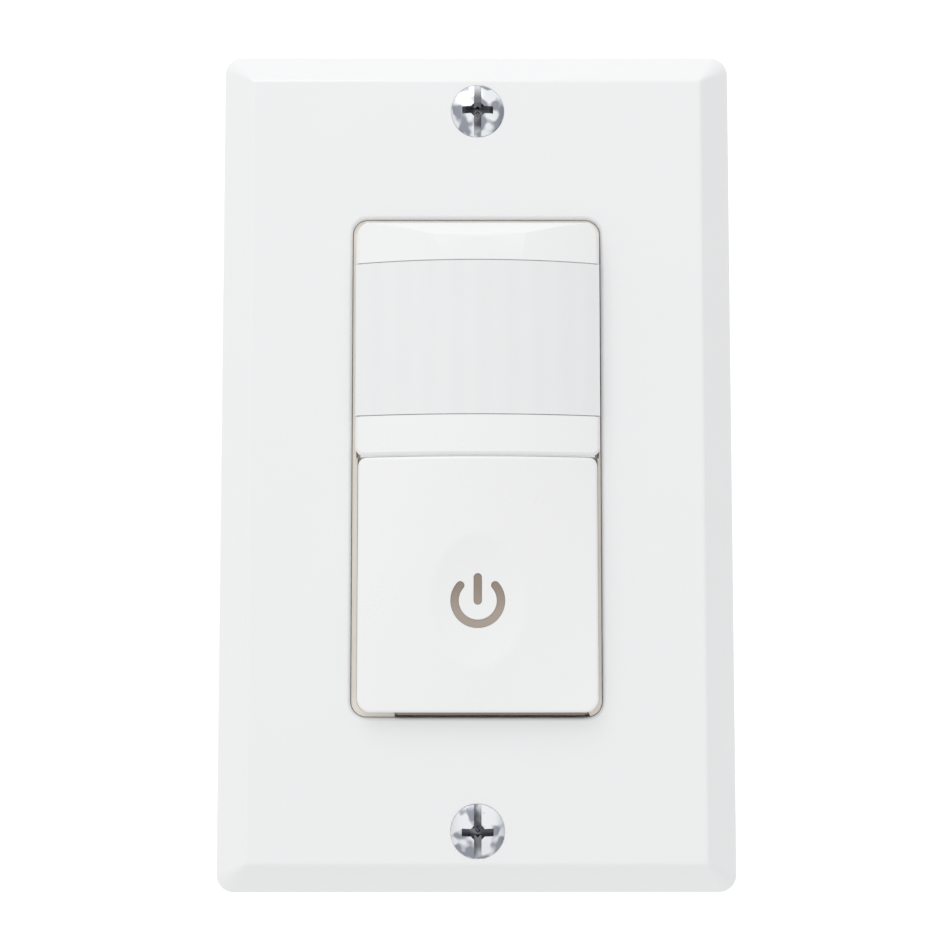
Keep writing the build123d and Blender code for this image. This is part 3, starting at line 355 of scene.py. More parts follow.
soft_widths = {
    "sensor_bezel": 0.22, "front_frame": 0.12, "mounting_strap": 0.14,
    "rear_housing": 0.2, "light_guide": 0.08, "relay": 0.25, "film_capacitor": 0.3,
    "sensor_board": 0.08, "main_board": 0.08, "tact_switch": 0.1, "trimmer_bodies": 0.12,
    "controller_chip": 0.08, "board_header": 0.08, "line_terminals": 0.12, "neutral_terminal": 0.12,
    "ground_terminal": 0.12, "time_dial": 0.15, "range_dial": 0.15, "light_dial": 0.15,
    "filter_capacitors": 0.15, "varistor": 0.5, "fuse_resistor": 0.25, "pir_sensor": 0.2,
    "daylight_sensor": 0.4, "indicator_led": 0.3, "switch_plunger": 0.15, "screw_washers": 0.05,
    "sensor_hood": 0.08, "choke": 0.2, "sensor_lens": 0.1,
}
faces = {name: len(soften(name, width).data.polygons) for name, width in soft_widths.items()}
print("softened:", len(faces), "faces:", sum(faces.values()))

# %% [markdown]
# The cover plate is the largest surface and shows every fault in its shading. It is made of rings:
# each ring is a rounded rectangle or a circle at one height, and the profile that the rings follow
# has all its corners rounded. Flat fills close the face and the hollow back. A bevel on the solid
# would be quicker, but its long thin triangles leave smudges on the flat face.


# %% Rings and rounded profiles
def rounded_profile(points, radii, steps=6):
    """A profile of (reach, height) points with its inner corners rounded."""
    path = [points[0]]
    for before, corner, after, radius in zip(points, points[1:], points[2:], radii):
        if not radius:
            path.append(corner)
            continue
        corner = Vector(corner)
        back, on = (Vector(before) - corner).normalized(), (Vector(after) - corner).normalized()
        half = back.angle(on) / 2
        centre = corner + (back + on).normalized() * (radius / math.sin(half))
        first, last = (corner + arm * (radius / math.tan(half)) - centre for arm in (back, on))
        for i in range(steps + 1):
            path.append(tuple(centre + first.lerp(last, i / steps).normalized() * radius))
    return path + [points[-1]]


def box_ring(work, halves, corner, height, steps=8, least=0.35):
    """A rounded rectangle of vertices round the middle of the plate."""
    corner = max(corner, least)
    made = []
    for i, (sx, sz) in enumerate(((1, 1), (-1, 1), (-1, -1), (1, -1))):
        for k in range(steps + 1):
            turn = math.pi / 2 * (i + k / steps)
            x = sx * (halves[0] - corner) + corner * math.cos(turn)
            z = sz * (halves[1] - corner) + corner * math.sin(turn)
            made.append(work.verts.new(((x + PLATE_X) * MM, -height * MM, z * MM)))
    return made


def profile_rings(work, halves, corner, profile, way):
    """A rounded rectangle for each point of a profile that runs inwards (-1) or outwards (1)."""
    return [box_ring(work, [half + way * d for half in halves], corner + way * d, h) for d, h in profile]


def round_ring(work, z, radius, height, steps=48):
    """A circle of vertices round a plate screw."""
    made = []
    for i in range(steps):
        turn = math.tau * i / steps
        place = (radius * math.cos(turn), -height, z + radius * math.sin(turn))
        made.append(work.verts.new([c * MM for c in place]))
    return made


def bridge(work, rings):
    """Walls from each ring to the next, which has as many vertices."""
    for a, b in zip(rings, rings[1:]):
        for i in range(len(a)):
            j = (i + 1) % len(a)
            work.faces.new((a[i], a[j], b[j], b[i]))


def fill(work, loops):
    """Close a flat area between an outline and the openings in it."""
    edges = []
    for loop in loops:
        for i in range(len(loop)):
            pair = (loop[i], loop[(i + 1) % len(loop)])
            edges.append(work.edges.get(pair) or work.edges.new(pair))
    bmesh.ops.triangle_fill(work, use_beauty=True, edges=edges)


def block(work, low, high):
    """A plain rib or ear."""
    made = bmesh.ops.create_cube(work, size=1.0)["verts"]
    for vert in made:
        vert.co = Vector((low[i] + (high[i] - low[i]) * (vert.co[i] + 0.5)) * MM for i in range(3))


# %% The plate's profiles
PLATE_EDGE, BEVEL, PLATE_WALL, PLATE_BACK = 2.2, 4.4, 2.2, 3.6
PLATE_CORNER, OPENING_CORNER, HOLLOW_CORNER = 2.4, 2.1, 0.35
LIP_LOW, LIP_WALL, LIP_LAND = 2.6, 1.5, 2.0
SINK, SINK_FOOT, HOLE, HOLE_WALL, HOLE_LOW = 3.66, 3.7, 2.2, 3.0, 1.25
front_profile = rounded_profile(
    [(0, 0), (0, PLATE_EDGE), (BEVEL, PLATE_FACE), (BEVEL + 0.4, PLATE_FACE)], (0.5, 1.0))
lip_profile = rounded_profile(
    [(LIP_LAND, PLATE_FACE), (0, PLATE_FACE), (0, LIP_LOW), (LIP_WALL, LIP_LOW), (LIP_WALL, PLATE_BACK)],
    (0.5, 0.12, 0))
sink_profile = rounded_profile(
    [(SINK + 0.19, PLATE_FACE), (SINK, PLATE_FACE), (HOLE, SINK_FOOT), (HOLE, HOLE_LOW),
     (HOLE_WALL, HOLE_LOW), (HOLE_WALL, PLATE_BACK)], (0.25, 0, 0, 0))
print("points of the profiles:", len(front_profile), len(lip_profile), len(sink_profile))

# %% The plate's shell
work = bmesh.new()
outside = profile_rings(work, PLATE_HALF, PLATE_CORNER, front_profile, -1)
lip = profile_rings(work, OPENING_HALF, OPENING_CORNER, lip_profile, 1)
sinks = [[round_ring(work, z, r, h) for r, h in sink_profile] for z in (SCREW_Z, -SCREW_Z)]
hollow = profile_rings(work, PLATE_HALF, HOLLOW_CORNER, [(PLATE_WALL, 0), (BEVEL, PLATE_BACK)], -1)
bridge(work, outside)
bridge(work, lip)
bridge(work, [outside[0], hollow[0]])
bridge(work, hollow)
for sink in sinks:
    bridge(work, sink)
fill(work, [outside[-1], lip[0], sinks[0][0], sinks[1][0]])
fill(work, [hollow[-1], lip[-1], sinks[0][-1], sinks[1][-1]])
open_edges = sum(1 for edge in work.edges if len(edge.link_faces) != 2)
print("plate's shell:", len(work.faces), "faces, open edges:", open_edges)

# %% The plate's ribs, and its place in the scene
RIB, RIB_X, RIB_HALF, RIB_ROOT, RIB_TIP = 1.0, 23.66, 48.4, -3.7, -2.8
CROSS_X, CROSS_HALF = 16.5, 13.5
for side in (-1, 1):
    x, z = PLATE_X + side * RIB_X, side * SCREW_Z
    block(work, (x - RIB / 2, RIB_ROOT, -RIB_HALF), (x + RIB / 2, RIB_TIP, RIB_HALF))
    for middle in (-CROSS_X, CROSS_X):
        left, right = middle - CROSS_HALF, middle + CROSS_HALF
        block(work, (left, RIB_ROOT, z - RIB / 2), (right, RIB_TIP, z + RIB / 2))
bmesh.ops.recalc_face_normals(work, faces=work.faces)
plate = stand("wall_plate_finished", bpy.data.meshes.new("wall_plate_finished"))
work.to_mesh(plate.data)
work.free()
plate.data.materials.append(finishes["plate_white"])
plate.data.shade_smooth()
plate.data.set_sharp_from_angle(angle=math.radians(38))
keep_flat(plate)
plain_mesh(plate)
settle(plate, "wall_plate", "device")

# %% [markdown]
# Two mouldings have thin edges that only show in the gaps between the pieces. A rim on the frame,
# whose cream tint is painted warm bounce light, lies between the plate's opening and the face, and the
# bezel has narrow tongues behind its seams, so that no light or dirt gets in. They are prisms over an
# outline, joined to their piece.


# %% Prisms that are joined to a piece
def prism(work, outline_points, near, far, axis):
    """A straight prism over a closed outline, along Y (axis 1) or Z (axis 2)."""
    layers = []
    for level in (near, far):
        layers.append([])
        for a, b in outline_points:
            place = (a, level, b) if axis == 1 else (a, b, level)
            layers[-1].append(work.verts.new([c * MM for c in place]))
    bridge(work, layers)
    for layer in layers:
        fill(work, [layer])


def add_to(name, shapes):
    """Join prisms to the finished piece of a node."""
    mesh = bpy.data.objects[name + "_finished"].data
    work = bmesh.new()
    for outline_points, near, far, axis in shapes:
        prism(work, outline_points, near, far, axis)
    bmesh.ops.recalc_face_normals(work, faces=work.faces)
    added = len(work.faces)
    work.from_mesh(mesh)
    work.to_mesh(mesh)
    work.free()
    print(name, "got", added, "faces")


# %% The frame's rim
SEAM_Z, RIM_BACK, RIM_FRONT, RIM_CLEARANCE, GUIDE_CLEARANCE = 1.05, -3.9, -4.9, 0.08, 0.35
BESIDE_PADDLE, BESIDE_BEZEL, UNDER_PADDLE, OVER_BEZEL = 16.16, 16.36, -32.88, 32.93
RIM_CORNERS = (2.0, 1.7)


def ring_path(middle, half_low, half_high, low, high, corner, ends):
    """Round the frame from one end of its lower gap to the other, past four rounded corners."""
    path = []
    for x_side, z_side, first in ((-1, -1, 270), (-1, 1, 180), (1, 1, 90), (1, -1, 0)):
        half, level = (half_low, low) if z_side < 0 else (half_high, high)
        centre_x, centre_z = middle + x_side * (half - corner), level - z_side * corner
        turns = [math.radians(first - 90 * i / 8) for i in range(9)]
        arc = [(centre_x + corner * math.cos(t), centre_z + corner * math.sin(t)) for t in turns]
        if z_side > 0:
            path += arc
            continue
        end = ends[0] if x_side < 0 else ends[1]
        arc = [point for point in arc if x_side * point[0] >= x_side * end]
        if x_side * end < x_side * centre_x:
            arc.insert(0 if x_side < 0 else len(arc), (end, low))
        shoulder = [(middle + x_side * half_low, SEAM_Z), (middle + x_side * half_high, SEAM_Z)]
        if half_low == half_high:
            shoulder = shoulder[:1]
        path += arc + shoulder if x_side < 0 else shoulder[::-1] + arc
    return path


lip_low, lip_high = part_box("light_guide")
ends = (lip_low.x / MM - GUIDE_CLEARANCE, lip_high.x / MM + GUIDE_CLEARANCE)
rim_half, rim_top = (half - RIM_CLEARANCE for half in OPENING_HALF)
rim_out = ring_path(PLATE_X, rim_half, rim_half, -rim_top, rim_top, RIM_CORNERS[0], ends)
rim_in = ring_path(0.0, BESIDE_PADDLE, BESIDE_BEZEL, UNDER_PADDLE, OVER_BEZEL, RIM_CORNERS[1], ends)
add_to("front_frame", [(rim_out + rim_in[::-1], RIM_BACK, RIM_FRONT, 1)])
print("lower gap of the rim:", ends)

# %% The bezel's tongues
TONGUE_HALF, TONGUE_BACK = 15.6, -5.2


def bezel_bow(x):
    """How far the bezel's front stands out at a place across it."""
    return FACE_EDGE + FACE_BULGE * (1 - (x / FACE_HALF) ** 2)


def tongue(drop):
    """The outline of a strip that follows the bow, a drop behind the bezel's front."""
    across = [TONGUE_HALF * i / 20 for i in range(-20, 21)]
    back = [(TONGUE_HALF, TONGUE_BACK), (-TONGUE_HALF, TONGUE_BACK)]
    return [(x, drop - bezel_bow(x)) for x in across] + back


seams = ((0.5, 0.985, 1.3), (0.3, 6.2, 6.5), (0.3, 26.9, 27.2))
add_to("sensor_bezel", [(tongue(drop), low, high, 2) for drop, low, high in seams])

# %% [markdown]
# Screws and springs repeat, so Geometry Nodes trees make them. Every such tree here has the same
# frame: named sizes go in, one piece is made, and a copy is put at each vertex of the object that
# carries the tree. Placing copies by hand would do for a few, but a tree keeps them all alike.


# %% The frame of every tree
def new_tree(name, sizes, others=()):
    """A tree with named inputs, and the inputs as wires."""
    group = bpy.data.node_groups.new(name, "GeometryNodeTree")
    kinds = [("Places", "Geometry"), *((size, "Float") for size in sizes), *others, ("Finish", "Material")]
    for label, kind in kinds:
        group.interface.new_socket(label, in_out="INPUT", socket_type="NodeSocket" + kind)
    group.interface.new_socket("Pieces", in_out="OUTPUT", socket_type="NodeSocketGeometry")
    tree = Tree(group)
    outputs = tree.nodes.new("NodeGroupInput").outputs
    return group, tree, {label: Wire(tree, outputs[label]) for label, kind in kinds}


def at_places(tree, given, body, turn):
    """Close a tree: a real copy of the body at every place, with the finish."""
    points = tree.add("GeometryNodeMeshToPoints", None, {0: given["Places"]})
    inputs = {"Points": points, "Instance": body, "Rotation": turn}
    copies = tree.add("GeometryNodeInstanceOnPoints", None, inputs)
    copies = tree.add("GeometryNodeRealizeInstances", None, {0: copies})
    inputs = {"Geometry": copies, "Material": given["Finish"]}
    copies = tree.add("GeometryNodeSetMaterial", None, inputs)
    tree.links.new(copies.socket, tree.nodes.new("NodeGroupOutput").inputs[0])


def grow(name, group, places, values):
    """Run a tree on an object whose vertices are the places in millimetres."""
    carrier = stand(name + "_finished", bpy.data.meshes.new(name + "_finished"))
    carrier.data.from_pydata([tuple(c * MM for c in place) for place in places], [], [])
    modifier = carrier.modifiers.new("nodes", "NODES")
    modifier.node_group = group
    for socket in group.interface.items_tree:
        if socket.name in values:
            modifier[socket.identifier] = values[socket.name]
    plain_mesh(carrier).shade_smooth()
    return carrier


# %% [markdown]
# All screws follow one rule. A flat grid is bent round an axis: one direction of the grid goes round
# the screw, the other runs from the crown to the tip, and a sine wound round the shank gives the
# thread. Booleans cut the slot, the cross and the flare where they meet.

# %% The screw's body
SCREW_SIZES = ("Head", "Crown", "Rim", "Cone", "Shank", "Length", "Pitch", "Slot", "Cross", "Sink")
STRETCHES = (0.0, 0.1, 0.13, 0.18, 0.97, 1.0)
ROUND, THREAD_DEPTH, RUN_IN, SCREW_WELD = 49, 0.35, 30, 0.004


def screw_body(tree, size):
    """Crown, rim, cone, threaded shank and tip, each on its own stretch of the grid."""
    sheet = tree.add("GeometryNodeMeshGrid", None, {0: 1.0, 1: 1.0, 2: ROUND, 3: size["Steps"]})
    spot = tree.add("GeometryNodeInputPosition")
    across, along = (tree.add("ShaderNodeSeparateXYZ", None, {0: spot}, out=axis) + 0.5 for axis in "XY")
    angle = across * math.tau
    shares = [((along - a) * (1 / (b - a))).held() for a, b in zip(STRETCHES, STRETCHES[1:])]
    crown, rim, cone, shank, tip = shares
    depth = size["Cone"] * cone + size["Rim"] * rim - size["Crown"] * (1 - crown * crown)
    depth = depth + (size["Length"] - size["Rim"] - size["Cone"]) * shank
    wave = (depth / size["Pitch"] * math.tau - angle).math("SINE") * 0.5 + 0.5
    thread = wave * size["Pitch"] * THREAD_DEPTH * (shank * RUN_IN).held() * (1 - tip)
    radius = size["Head"] * crown - (size["Head"] - size["Shank"]) * cone - size["Shank"] * tip
    radius = radius - thread
    bent = tree.add("ShaderNodeCombineXYZ", None,
                    {0: radius * angle.math("COSINE"), 1: depth, 2: radius * angle.math("SINE")})
    body = tree.add("GeometryNodeSetPosition", None, {"Geometry": sheet, "Position": bent})
    return tree.add("GeometryNodeMergeByDistance", None, {"Geometry": body, "Distance": SCREW_WELD * MM})


# %% Its drive, and the whole tree
def cut_drive(tree, size, body):
    """Cut the slot, the cross and a flare between them into the head."""
    cut = {"operation": "DIFFERENCE", "solver": "EXACT"}
    middle = tree.add("ShaderNodeCombineXYZ", None, {0: 0.0, 1: size["Crown"] * -1.0, 2: 0.0})
    for width, length, sink in (("Slot", size["Head"] * 2.2, 1.0), ("Cross", size["Slot"], 1.7)):
        sides = {0: size[width], 1: size["Sink"] * (2 * sink), 2: length}
        bar = tree.add("GeometryNodeMeshCube", None, {0: tree.add("ShaderNodeCombineXYZ", None, sides)})
        bar = tree.add("GeometryNodeTransform", None, {"Geometry": bar, "Translation": middle})
        body = tree.add("GeometryNodeMeshBoolean", cut, {0: body, 1: bar})
    flare = tree.add("GeometryNodeMeshCone", None, {
        "Vertices": 4, "Radius Bottom": size["Cross"] * 0.36, "Radius Top": size["Slot"] * 0.2,
        "Depth": size["Sink"] * 1.9 + size["Crown"] * 0.1})
    above = tree.add("ShaderNodeCombineXYZ", None, {0: 0.0, 1: size["Crown"] * -1.1, 2: 0.0})
    flare = tree.add("GeometryNodeTransform", None,
                     {"Geometry": flare, "Translation": above, "Rotation": (-math.pi / 2, 0, 0)})
    return tree.add("GeometryNodeMeshBoolean", cut, {0: body, 1: flare})


SCREWS, tree, given = new_tree("threaded screw", SCREW_SIZES, [("Turn", "Vector"), ("Steps", "Int")])
at_places(tree, given, cut_drive(tree, given, screw_body(tree, given)), given["Turn"])
print("nodes in the screw tree:", len(tree.nodes))

# %% Put the screws in
BOX_SCREW_Z, CASE_SCREW_X, CASE_SCREW_Z, TERMINAL_X, TERMINAL_Z = 41.67, 13.6, 30.35, 20.45, 15
RIGHT, LEFT, BACK = (0, 0, math.pi / 2), (0, 0, -math.pi / 2), (0, 0, math.pi)


def screws(name, places, size, turn=(0, 0, 0), steps=160, dress=None):
    """Make the screws of one node, all of one size, and let them stand for their solids."""
    values = {key: value * MM for key, value in size.items()}
    values.update(Turn=turn, Steps=steps, Finish=finishes[dress or slot_of_node[name]])
    carrier = grow(name, SCREWS, places, values)
    carrier.data.set_sharp_from_angle(angle=math.radians(50))
    settle(carrier, name, body_of_node[name])
    low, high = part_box(name)
    print(name, "faces:", len(carrier.data.polygons), "solid box:", low, high)


screws("plate_screws", [(0, -PLATE_FACE, SCREW_Z), (0, -PLATE_FACE, -SCREW_Z)],
       dict(Head=HEAD_RADIUS, Crown=CROWN, Rim=0.25, Cone=1.6, Shank=1.75, Length=12.0, Pitch=0.8,
            Slot=1.0, Cross=4.2, Sink=1.02), dress="head_zinc")
screws("box_screws", [(0, -2.5, BOX_SCREW_Z), (0, -2.5, -BOX_SCREW_Z)],
       dict(Head=3.3, Crown=0.6, Rim=1.29, Cone=0.01, Shank=1.75, Length=24.4, Pitch=0.8,
            Slot=1.1, Cross=4.0, Sink=0.7), steps=240)
case_places = [(x, 20.5, z) for x in (-CASE_SCREW_X, CASE_SCREW_X) for z in (-CASE_SCREW_Z, CASE_SCREW_Z)]
screws("housing_screws", case_places,
       dict(Head=2.5, Crown=0.3, Rim=1.49, Cone=0.01, Shank=1.3, Length=18.7, Pitch=0.7,
            Slot=0.8, Cross=2.8, Sink=0.6), turn=BACK, steps=180)
terminal = dict(Head=3.3, Crown=0.4, Rim=1.39, Cone=0.01, Shank=1.75, Length=3.35, Pitch=0.7,
                Slot=1.0, Cross=3.6, Sink=0.6)
line_places = [(-TERMINAL_X, 15, z) for z in (TERMINAL_Z, -TERMINAL_Z)]
screws("line_screws", line_places, terminal, turn=LEFT, steps=80)
screws("neutral_screw", [(TERMINAL_X, 15, TERMINAL_Z)], terminal, turn=RIGHT, steps=80)
screws("ground_screw", [(TERMINAL_X, 15, -TERMINAL_Z)], terminal, turn=RIGHT, steps=80)

# %% [markdown]
# The return springs are round wire wound on a helix. The tree draws the helix as a curve and sweeps
# a small circle along it, with closed ends. A bent grid, as for the screws, would give the same tube,
# but the helix is ready as a curve.

# %% The spring tree
SPRINGS, tree, given = new_tree("wound spring", ("Coil", "Wire", "Length", "Turns"))
path = tree.add("GeometryNodeCurveSpiral", None, {
    "Resolution": 36, "Rotations": given["Turns"], "Start Radius": given["Coil"],
    "End Radius": given["Coil"], "Height": given["Length"]})
inputs = {"Resolution": 12, "Radius": given["Wire"]}
ring = tree.add("GeometryNodeCurvePrimitiveCircle", {"mode": "RADIUS"}, inputs)
inputs = {"Curve": path, "Profile Curve": ring, "Fill Caps": True}
body = tree.add("GeometryNodeCurveToMesh", None, inputs)
at_places(tree, given, body, (math.pi / 2, 0, 0))
print("nodes in the spring tree:", len(tree.nodes))

# %% Put the springs in
sizes = {"Coil": 2.0 * MM, "Wire": 0.25 * MM, "Length": 4.5 * MM, "Turns": 4.0}
spring_places = [(x, 0.45, SPRING_Z) for x in (-SPRING_X, SPRING_X)]
springs = grow("paddle_springs", SPRINGS, spring_places, sizes | {"Finish": finishes["spring_steel"]})
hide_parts("paddle_springs")
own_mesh(springs)
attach(springs, "device")
print("springs:", len(springs.data.polygons), "faces")

# %% [markdown]
# The paddle is what the hand meets. Its front is one smooth rule: it bows across its width, and the
# bow dies out towards the lower edge. A shallow dish for the finger lies in its lower half, and all
# its edges are rounded. It is made as a grid whose height follows that rule, with walls turned in.
# Sculpting would give the same shape, but no exact sizes.

# %% The paddle's front as a rule
HALF, TOP, BOTTOM, SKIRT, WALL = 15.93, 0.95, -32.65, 5.2, 1.3
LOW_EDGE, LOW_BULGE, EDGE_ROUND, TOP_CORNER, LOW_CORNER = 7.8, 0.1, 0.42, 1.2, 1.8
DISH_Z, DISH_DEPTH, DISH_WIDE, DISH_TALL = -17.97, 0.62, 6.2, 8.65
MIDDLE = (TOP + BOTTOM) / 2


def front(x, z):
    """How far the paddle's front stands out at a place, before its edges are rounded."""
    share = (z - BOTTOM) / (TOP - BOTTOM)
    edge = LOW_EDGE + (FACE_EDGE - LOW_EDGE) * share
    bulge = LOW_BULGE + (FACE_BULGE - LOW_BULGE) * share
    reach = (x / DISH_WIDE) ** 2 + ((z - DISH_Z) / DISH_TALL) ** 2
    return edge + bulge * (1 - (x / HALF) ** 2) - DISH_DEPTH * max(0.0, 1 - reach)


print("front at the top and the dish:", front(0, TOP), front(0, DISH_Z))


# %% Helpers for its rounded outline
def near_corner(x, z, inset):
    """The corner's radius, the centre it turns round, and how far past that centre a place is."""
    corner = (TOP_CORNER if z > MIDDLE else LOW_CORNER) - inset * 0.5
    wide, tall = HALF - inset - corner, (TOP - BOTTOM) / 2 - inset - corner
    return corner, wide, tall, abs(x) - wide, abs(z - MIDDLE) - tall


def how_far_in(x, z, inset):
    """How far inside the rounded outline a place is."""
    corner, wide, tall, dx, dz = near_corner(x, z, inset)
    return corner - (math.hypot(max(dx, 0), max(dz, 0)) + min(max(dx, dz), 0))


def corner_pull(x, z, inset):
    """Bend the square corner of the grid into the quarter disc of the rounded corner."""
    corner, wide, tall, dx, dz = near_corner(x, z, inset)
    if dx <= 0 or dz <= 0:
        return x, z
    pull = max(dx, dz) / math.hypot(dx, dz)
    return math.copysign(wide + dx * pull, x), MIDDLE + math.copysign(tall + dz * pull, z - MIDDLE)


def spaced(low, high, count):
    """Places from low to high that crowd towards both ends, where the edge is rounded."""
    return [low + (high - low) * (0.5 - 0.5 * math.cos(math.pi * i / count)) for i in range(count + 1)]


# %% The paddle's shell
ROWS, COLUMNS, PADDLE_WELD = 120, 110, 0.003


def shell_layer(work, inset):
    """One grid over the paddle: the outer front (inset 0) or the ceiling inside it."""
    rows = []
    for z in spaced(BOTTOM + inset, TOP - inset, ROWS):
        row = []
        for x in spaced(-HALF + inset, HALF - inset, COLUMNS):
            px, pz = corner_pull(x, z, inset)
            depth = min(max(0.0, how_far_in(px, pz, inset)), EDGE_ROUND)
            rounding = EDGE_ROUND - math.sqrt(max(0.0, EDGE_ROUND**2 - (EDGE_ROUND - depth) ** 2))
            row.append(work.verts.new((px * MM, -(front(px, pz) - inset - rounding) * MM, pz * MM)))
        rows.append(row)
    for a, b in zip(rows, rows[1:]):
        for i in range(len(a) - 1):
            work.faces.new((a[i], a[i + 1], b[i + 1], b[i]))
    return rows[0] + [r[-1] for r in rows[1:]] + rows[-1][-2::-1] + [r[0] for r in rows[-2:0:-1]]


work = bmesh.new()
outer, inner = shell_layer(work, 0.0), shell_layer(work, WALL)
feet = [[work.verts.new((v.co.x, -SKIRT * MM, v.co.z)) for v in loop] for loop in (outer, inner)]
for pair in ((outer, feet[0]), (inner, feet[1]), feet):
    bridge(work, pair)
bmesh.ops.remove_doubles(work, verts=work.verts, dist=PADDLE_WELD * MM)
bmesh.ops.recalc_face_normals(work, faces=work.faces)
paddle = stand("push_button_finished", bpy.data.meshes.new("push_button_finished"))
work.to_mesh(paddle.data)
work.free()
paddle.data.materials.append(finishes["device_white"])
print("paddle:", len(paddle.data.polygons), "faces")

# %% [markdown]
# The on and off sign is cut right through the paddle, and a smoky window fills the cut so that the
# lamp shines through it. Both the cutter and the window come from one outline: a broken ring with
# round ends, and a bar through its gap.

# %% The sign's outlines
RING, RING_GAP, BAR = 3.05, 48.8, 3.05


def sign_outlines(stroke):
    """The ring and the bar as closed outlines of points in the paddle's plane."""
    half = stroke / 2
    start, stop = math.radians(90 + RING_GAP), math.radians(450 - RING_GAP)

    def arc(radius, turns, cx=0.0, cz=0.0):
        return [(cx + radius * math.cos(t), cz + radius * math.sin(t)) for t in turns]

    def cap(cx, cz, aim):
        return arc(half, [aim - math.pi / 2 + math.pi * i / 8 for i in range(1, 8)], cx, cz)

    angles = [start + (stop - start) * i / 48 for i in range(49)]
    far = cap(RING * math.cos(stop), RING * math.sin(stop), stop + math.pi / 2)
    near = cap(RING * math.cos(start), RING * math.sin(start), start - math.pi / 2)
    ring = arc(RING + half, angles) + far + arc(RING - half, angles[::-1]) + near
    bar_top, bar_low = cap(0, BAR, math.pi / 2), cap(0, 0.0, -math.pi / 2)
    bar = [(half, 0.0), (half, BAR)] + bar_top + [(-half, BAR), (-half, 0.0)] + bar_low
    return [ring, bar]


# %% The cut and its window
def sign_solid(name, stroke, drop, back):
    """The sign as a solid, from a drop behind the paddle's front to a flat back."""
    work = bmesh.new()
    for points in sign_outlines(stroke):
        raised = [(x, z + DISH_Z) for x, z in points]
        top = [work.verts.new((x * MM, -(front(x, z) - drop) * MM, z * MM)) for x, z in raised]
        low = [work.verts.new((x * MM, -back * MM, z * MM)) for x, z in raised]
        bridge(work, [low, top])
        work.faces.new(top)
        work.faces.new(list(reversed(low)))
    bmesh.ops.triangulate(work, faces=[f for f in work.faces if len(f.verts) > 4])
    bmesh.ops.recalc_face_normals(work, faces=work.faces)
    solid = stand(name, bpy.data.meshes.new(name))
    work.to_mesh(solid.data)
    work.free()
    return solid


cutter = sign_solid("sign_cutter", stroke=1.1, drop=-1.0, back=5.6)
cut = paddle.modifiers.new("sign", "BOOLEAN")
cut.operation, cut.solver, cut.object = "DIFFERENCE", "EXACT", cutter
plain_mesh(paddle)
bpy.data.objects.remove(cutter)
window = sign_solid("sign_window", stroke=1.06, drop=0.12, back=7.4)
window.data.materials.append(finishes["sign_window"])
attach(window, "paddle")
print("paddle with its sign:", len(paddle.data.polygons), "faces")

# %% [markdown]
# Behind its front the paddle has two ears with the pins that it turns on, a presser for the switch on
# the board and two bosses that hold the springs. They are plain blocks and drums that reach into the
# shell, as ribs in a mould do, and need no cut to join.

# %% Ears, pins, presser and spring bosses inside the paddle
EAR_X, EAR_Y, EAR_Z = (13.6, 14.8), (-7.0, 0.0), (-3.8, -0.2)
PIN_RADIUS, PIN_LENGTH, PIN_X, HINGE_Y, HINGE_Z = 1.0, 1.3, 15.4, -2.0, -2.0
BOSS_RADIUS, BOSS_LENGTH, BOSS_Y = 2.6, 2.4, -5.65
PRESSER = ((-1.6, -8.6, -11.1), (1.6, -1.7, -7.9))


def drum(work, radius, length):
    """A short cylinder along Z, round the origin."""
    made = bmesh.ops.create_cone(work, segments=32, radius1=radius * MM, radius2=radius * MM,
                                 depth=length * MM, cap_ends=True)
    return made["verts"]


work = bmesh.new()
work.from_mesh(paddle.data)
for side in (-1, 1):
    near, far = sorted(side * x for x in EAR_X)
    block(work, (near, EAR_Y[0], EAR_Z[0]), (far, EAR_Y[1], EAR_Z[1]))
    for vert in drum(work, PIN_RADIUS, PIN_LENGTH):
        turned = Vector((vert.co.z, vert.co.y, -vert.co.x))
        vert.co = turned + Vector((side * PIN_X, HINGE_Y, HINGE_Z)) * MM
    for vert in drum(work, BOSS_RADIUS, BOSS_LENGTH):
        turned = Vector((vert.co.x, vert.co.z, vert.co.y))
        vert.co = turned + Vector((side * SPRING_X, BOSS_Y, SPRING_Z)) * MM
block(work, *PRESSER)
work.to_mesh(paddle.data)
work.free()
paddle.data.shade_smooth()
paddle.data.set_sharp_from_angle(angle=math.radians(42))
settle(paddle, "push_button", "paddle")
print("paddle with all its parts:", len(paddle.data.polygons), "faces")

# %% [markdown]
# The switch stands before a plain white sweep, as in a catalogue. The light comes from a pale room
# that is darker at both sides and below, which gives the bevels their different shades. One weak
# lamp from the upper left adds the soft shadows. Strong lamps alone would burn out the white. The
# sizes of the sweep and the lamp's place are in metres.

# %% The sweep
SWEEP_HALF, PAPER, GLOW = 3.0, (0.3, 0.3, 0.3, 1), 0.82
profile = [(0.0, -0.09), (0.35, -0.09), (0.6, 0.0), (0.75, 0.3), (0.8, 2.5)]
sweep = bpy.data.meshes.new("sweep")
sweep.from_pydata([(x, y, z) for y, z in profile for x in (-SWEEP_HALF, SWEEP_HALF)], [],
                  [(2 * i, 2 * i + 1, 2 * i + 3, 2 * i + 2) for i in range(len(profile) - 1)])
sweep.shade_smooth()
floor = stand("sweep", sweep)
paper = bpy.data.materials.new("white_sweep")
paper.use_nodes = True
paper_shader = paper.node_tree.nodes["Principled BSDF"]
paper_shader.inputs["Base Color"].default_value = PAPER
paper_shader.inputs["Roughness"].default_value = 1.0
paper_shader.inputs["Emission Color"].default_value = (1, 1, 1, 1)
paper_shader.inputs["Emission Strength"].default_value = GLOW
sweep.materials.append(paper)
print("sweep:", len(sweep.polygons), "faces")

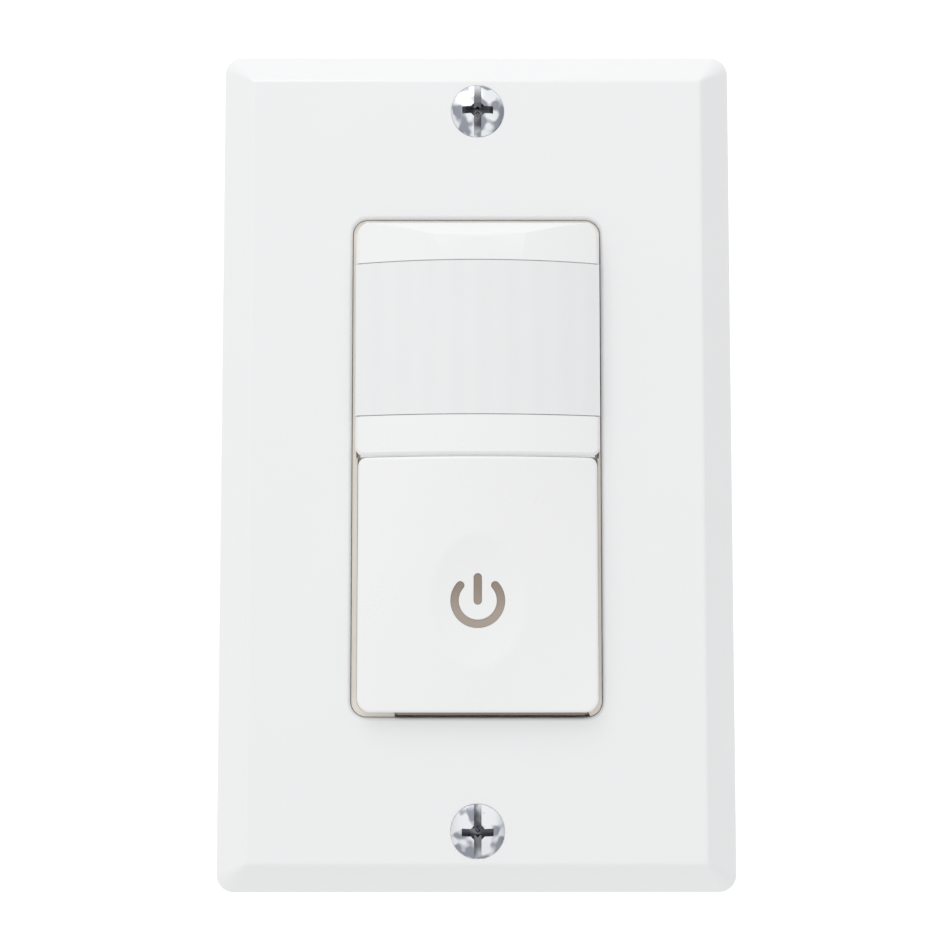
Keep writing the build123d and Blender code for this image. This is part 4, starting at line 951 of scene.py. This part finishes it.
# %% The lamp
LAMP_PLACE, LAMP_SIZE, LAMP_POWER = Vector((-0.3, -0.66, 0.95)), 0.8, 2.7
light = bpy.data.lights.new("key", "AREA")
light.shape, light.size, light.energy = "DISK", LAMP_SIZE, LAMP_POWER
key = stand("key", light)
key.location = LAMP_PLACE
key.rotation_euler = (-LAMP_PLACE).to_track_quat("-Z", "Y").to_euler()
print("lamp:", LAMP_PLACE.length, "m away,", LAMP_POWER, "W")


# %% The pale room
def grey(tone, blue=0.0):
    """A grey colour, with a little more blue where it is asked for."""
    return (tone, tone, tone + blue, 1)


SIDE_START, SIDE_STEEPNESS, FLOOR_STEEPNESS, FLOOR_SHARE, STRENGTH = 0.62, 4.0, 1.6, 0.3, 1.07
world = bpy.data.worlds.new("pale room")
world.use_nodes = True
room = Tree(world.node_tree)
aim = room.add("ShaderNodeTexCoord", out="Generated")
sideways = room.add("ShaderNodeSeparateXYZ", None, {0: aim}, out="X")
downward = room.add("ShaderNodeSeparateXYZ", None, {0: aim}, out="Z") * -1.0
sides = ((sideways.math("ABSOLUTE") - SIDE_START) * SIDE_STEEPNESS).held()
side_tone = room.mix((sideways * SIDE_STEEPNESS).held(), grey(0.72), grey(0.47, 0.01))
shade = room.mix(sides, grey(0.92), side_tone)
shade = room.mix((downward * FLOOR_STEEPNESS).held() * FLOOR_SHARE, shade, grey(0.64))
room.links.new(shade.socket, room.nodes["Background"].inputs["Color"])
room.nodes["Background"].inputs["Strength"].default_value = STRENGTH
bpy.context.scene.world = world
print("nodes in the room's shade:", len(room.nodes))

# %% The camera
FOCAL, SENSOR, NEAREST = 52.12, 36.0, 0.01
EYE, TILT, ROLL = Vector((-0.79, -189.7, -12.92)), 93.62, -0.134
bpy.context.scene.view_settings.view_transform = "Standard"
lens = bpy.data.cameras.new("camera")
lens.sensor_width, lens.lens, lens.clip_start = SENSOR, FOCAL, NEAREST
camera = stand("camera", lens)
camera.location = EYE * MM
camera.rotation_euler = (math.radians(TILT), 0.0, math.radians(ROLL))
bpy.context.scene.camera = camera
print("camera:", EYE.length, "mm away")
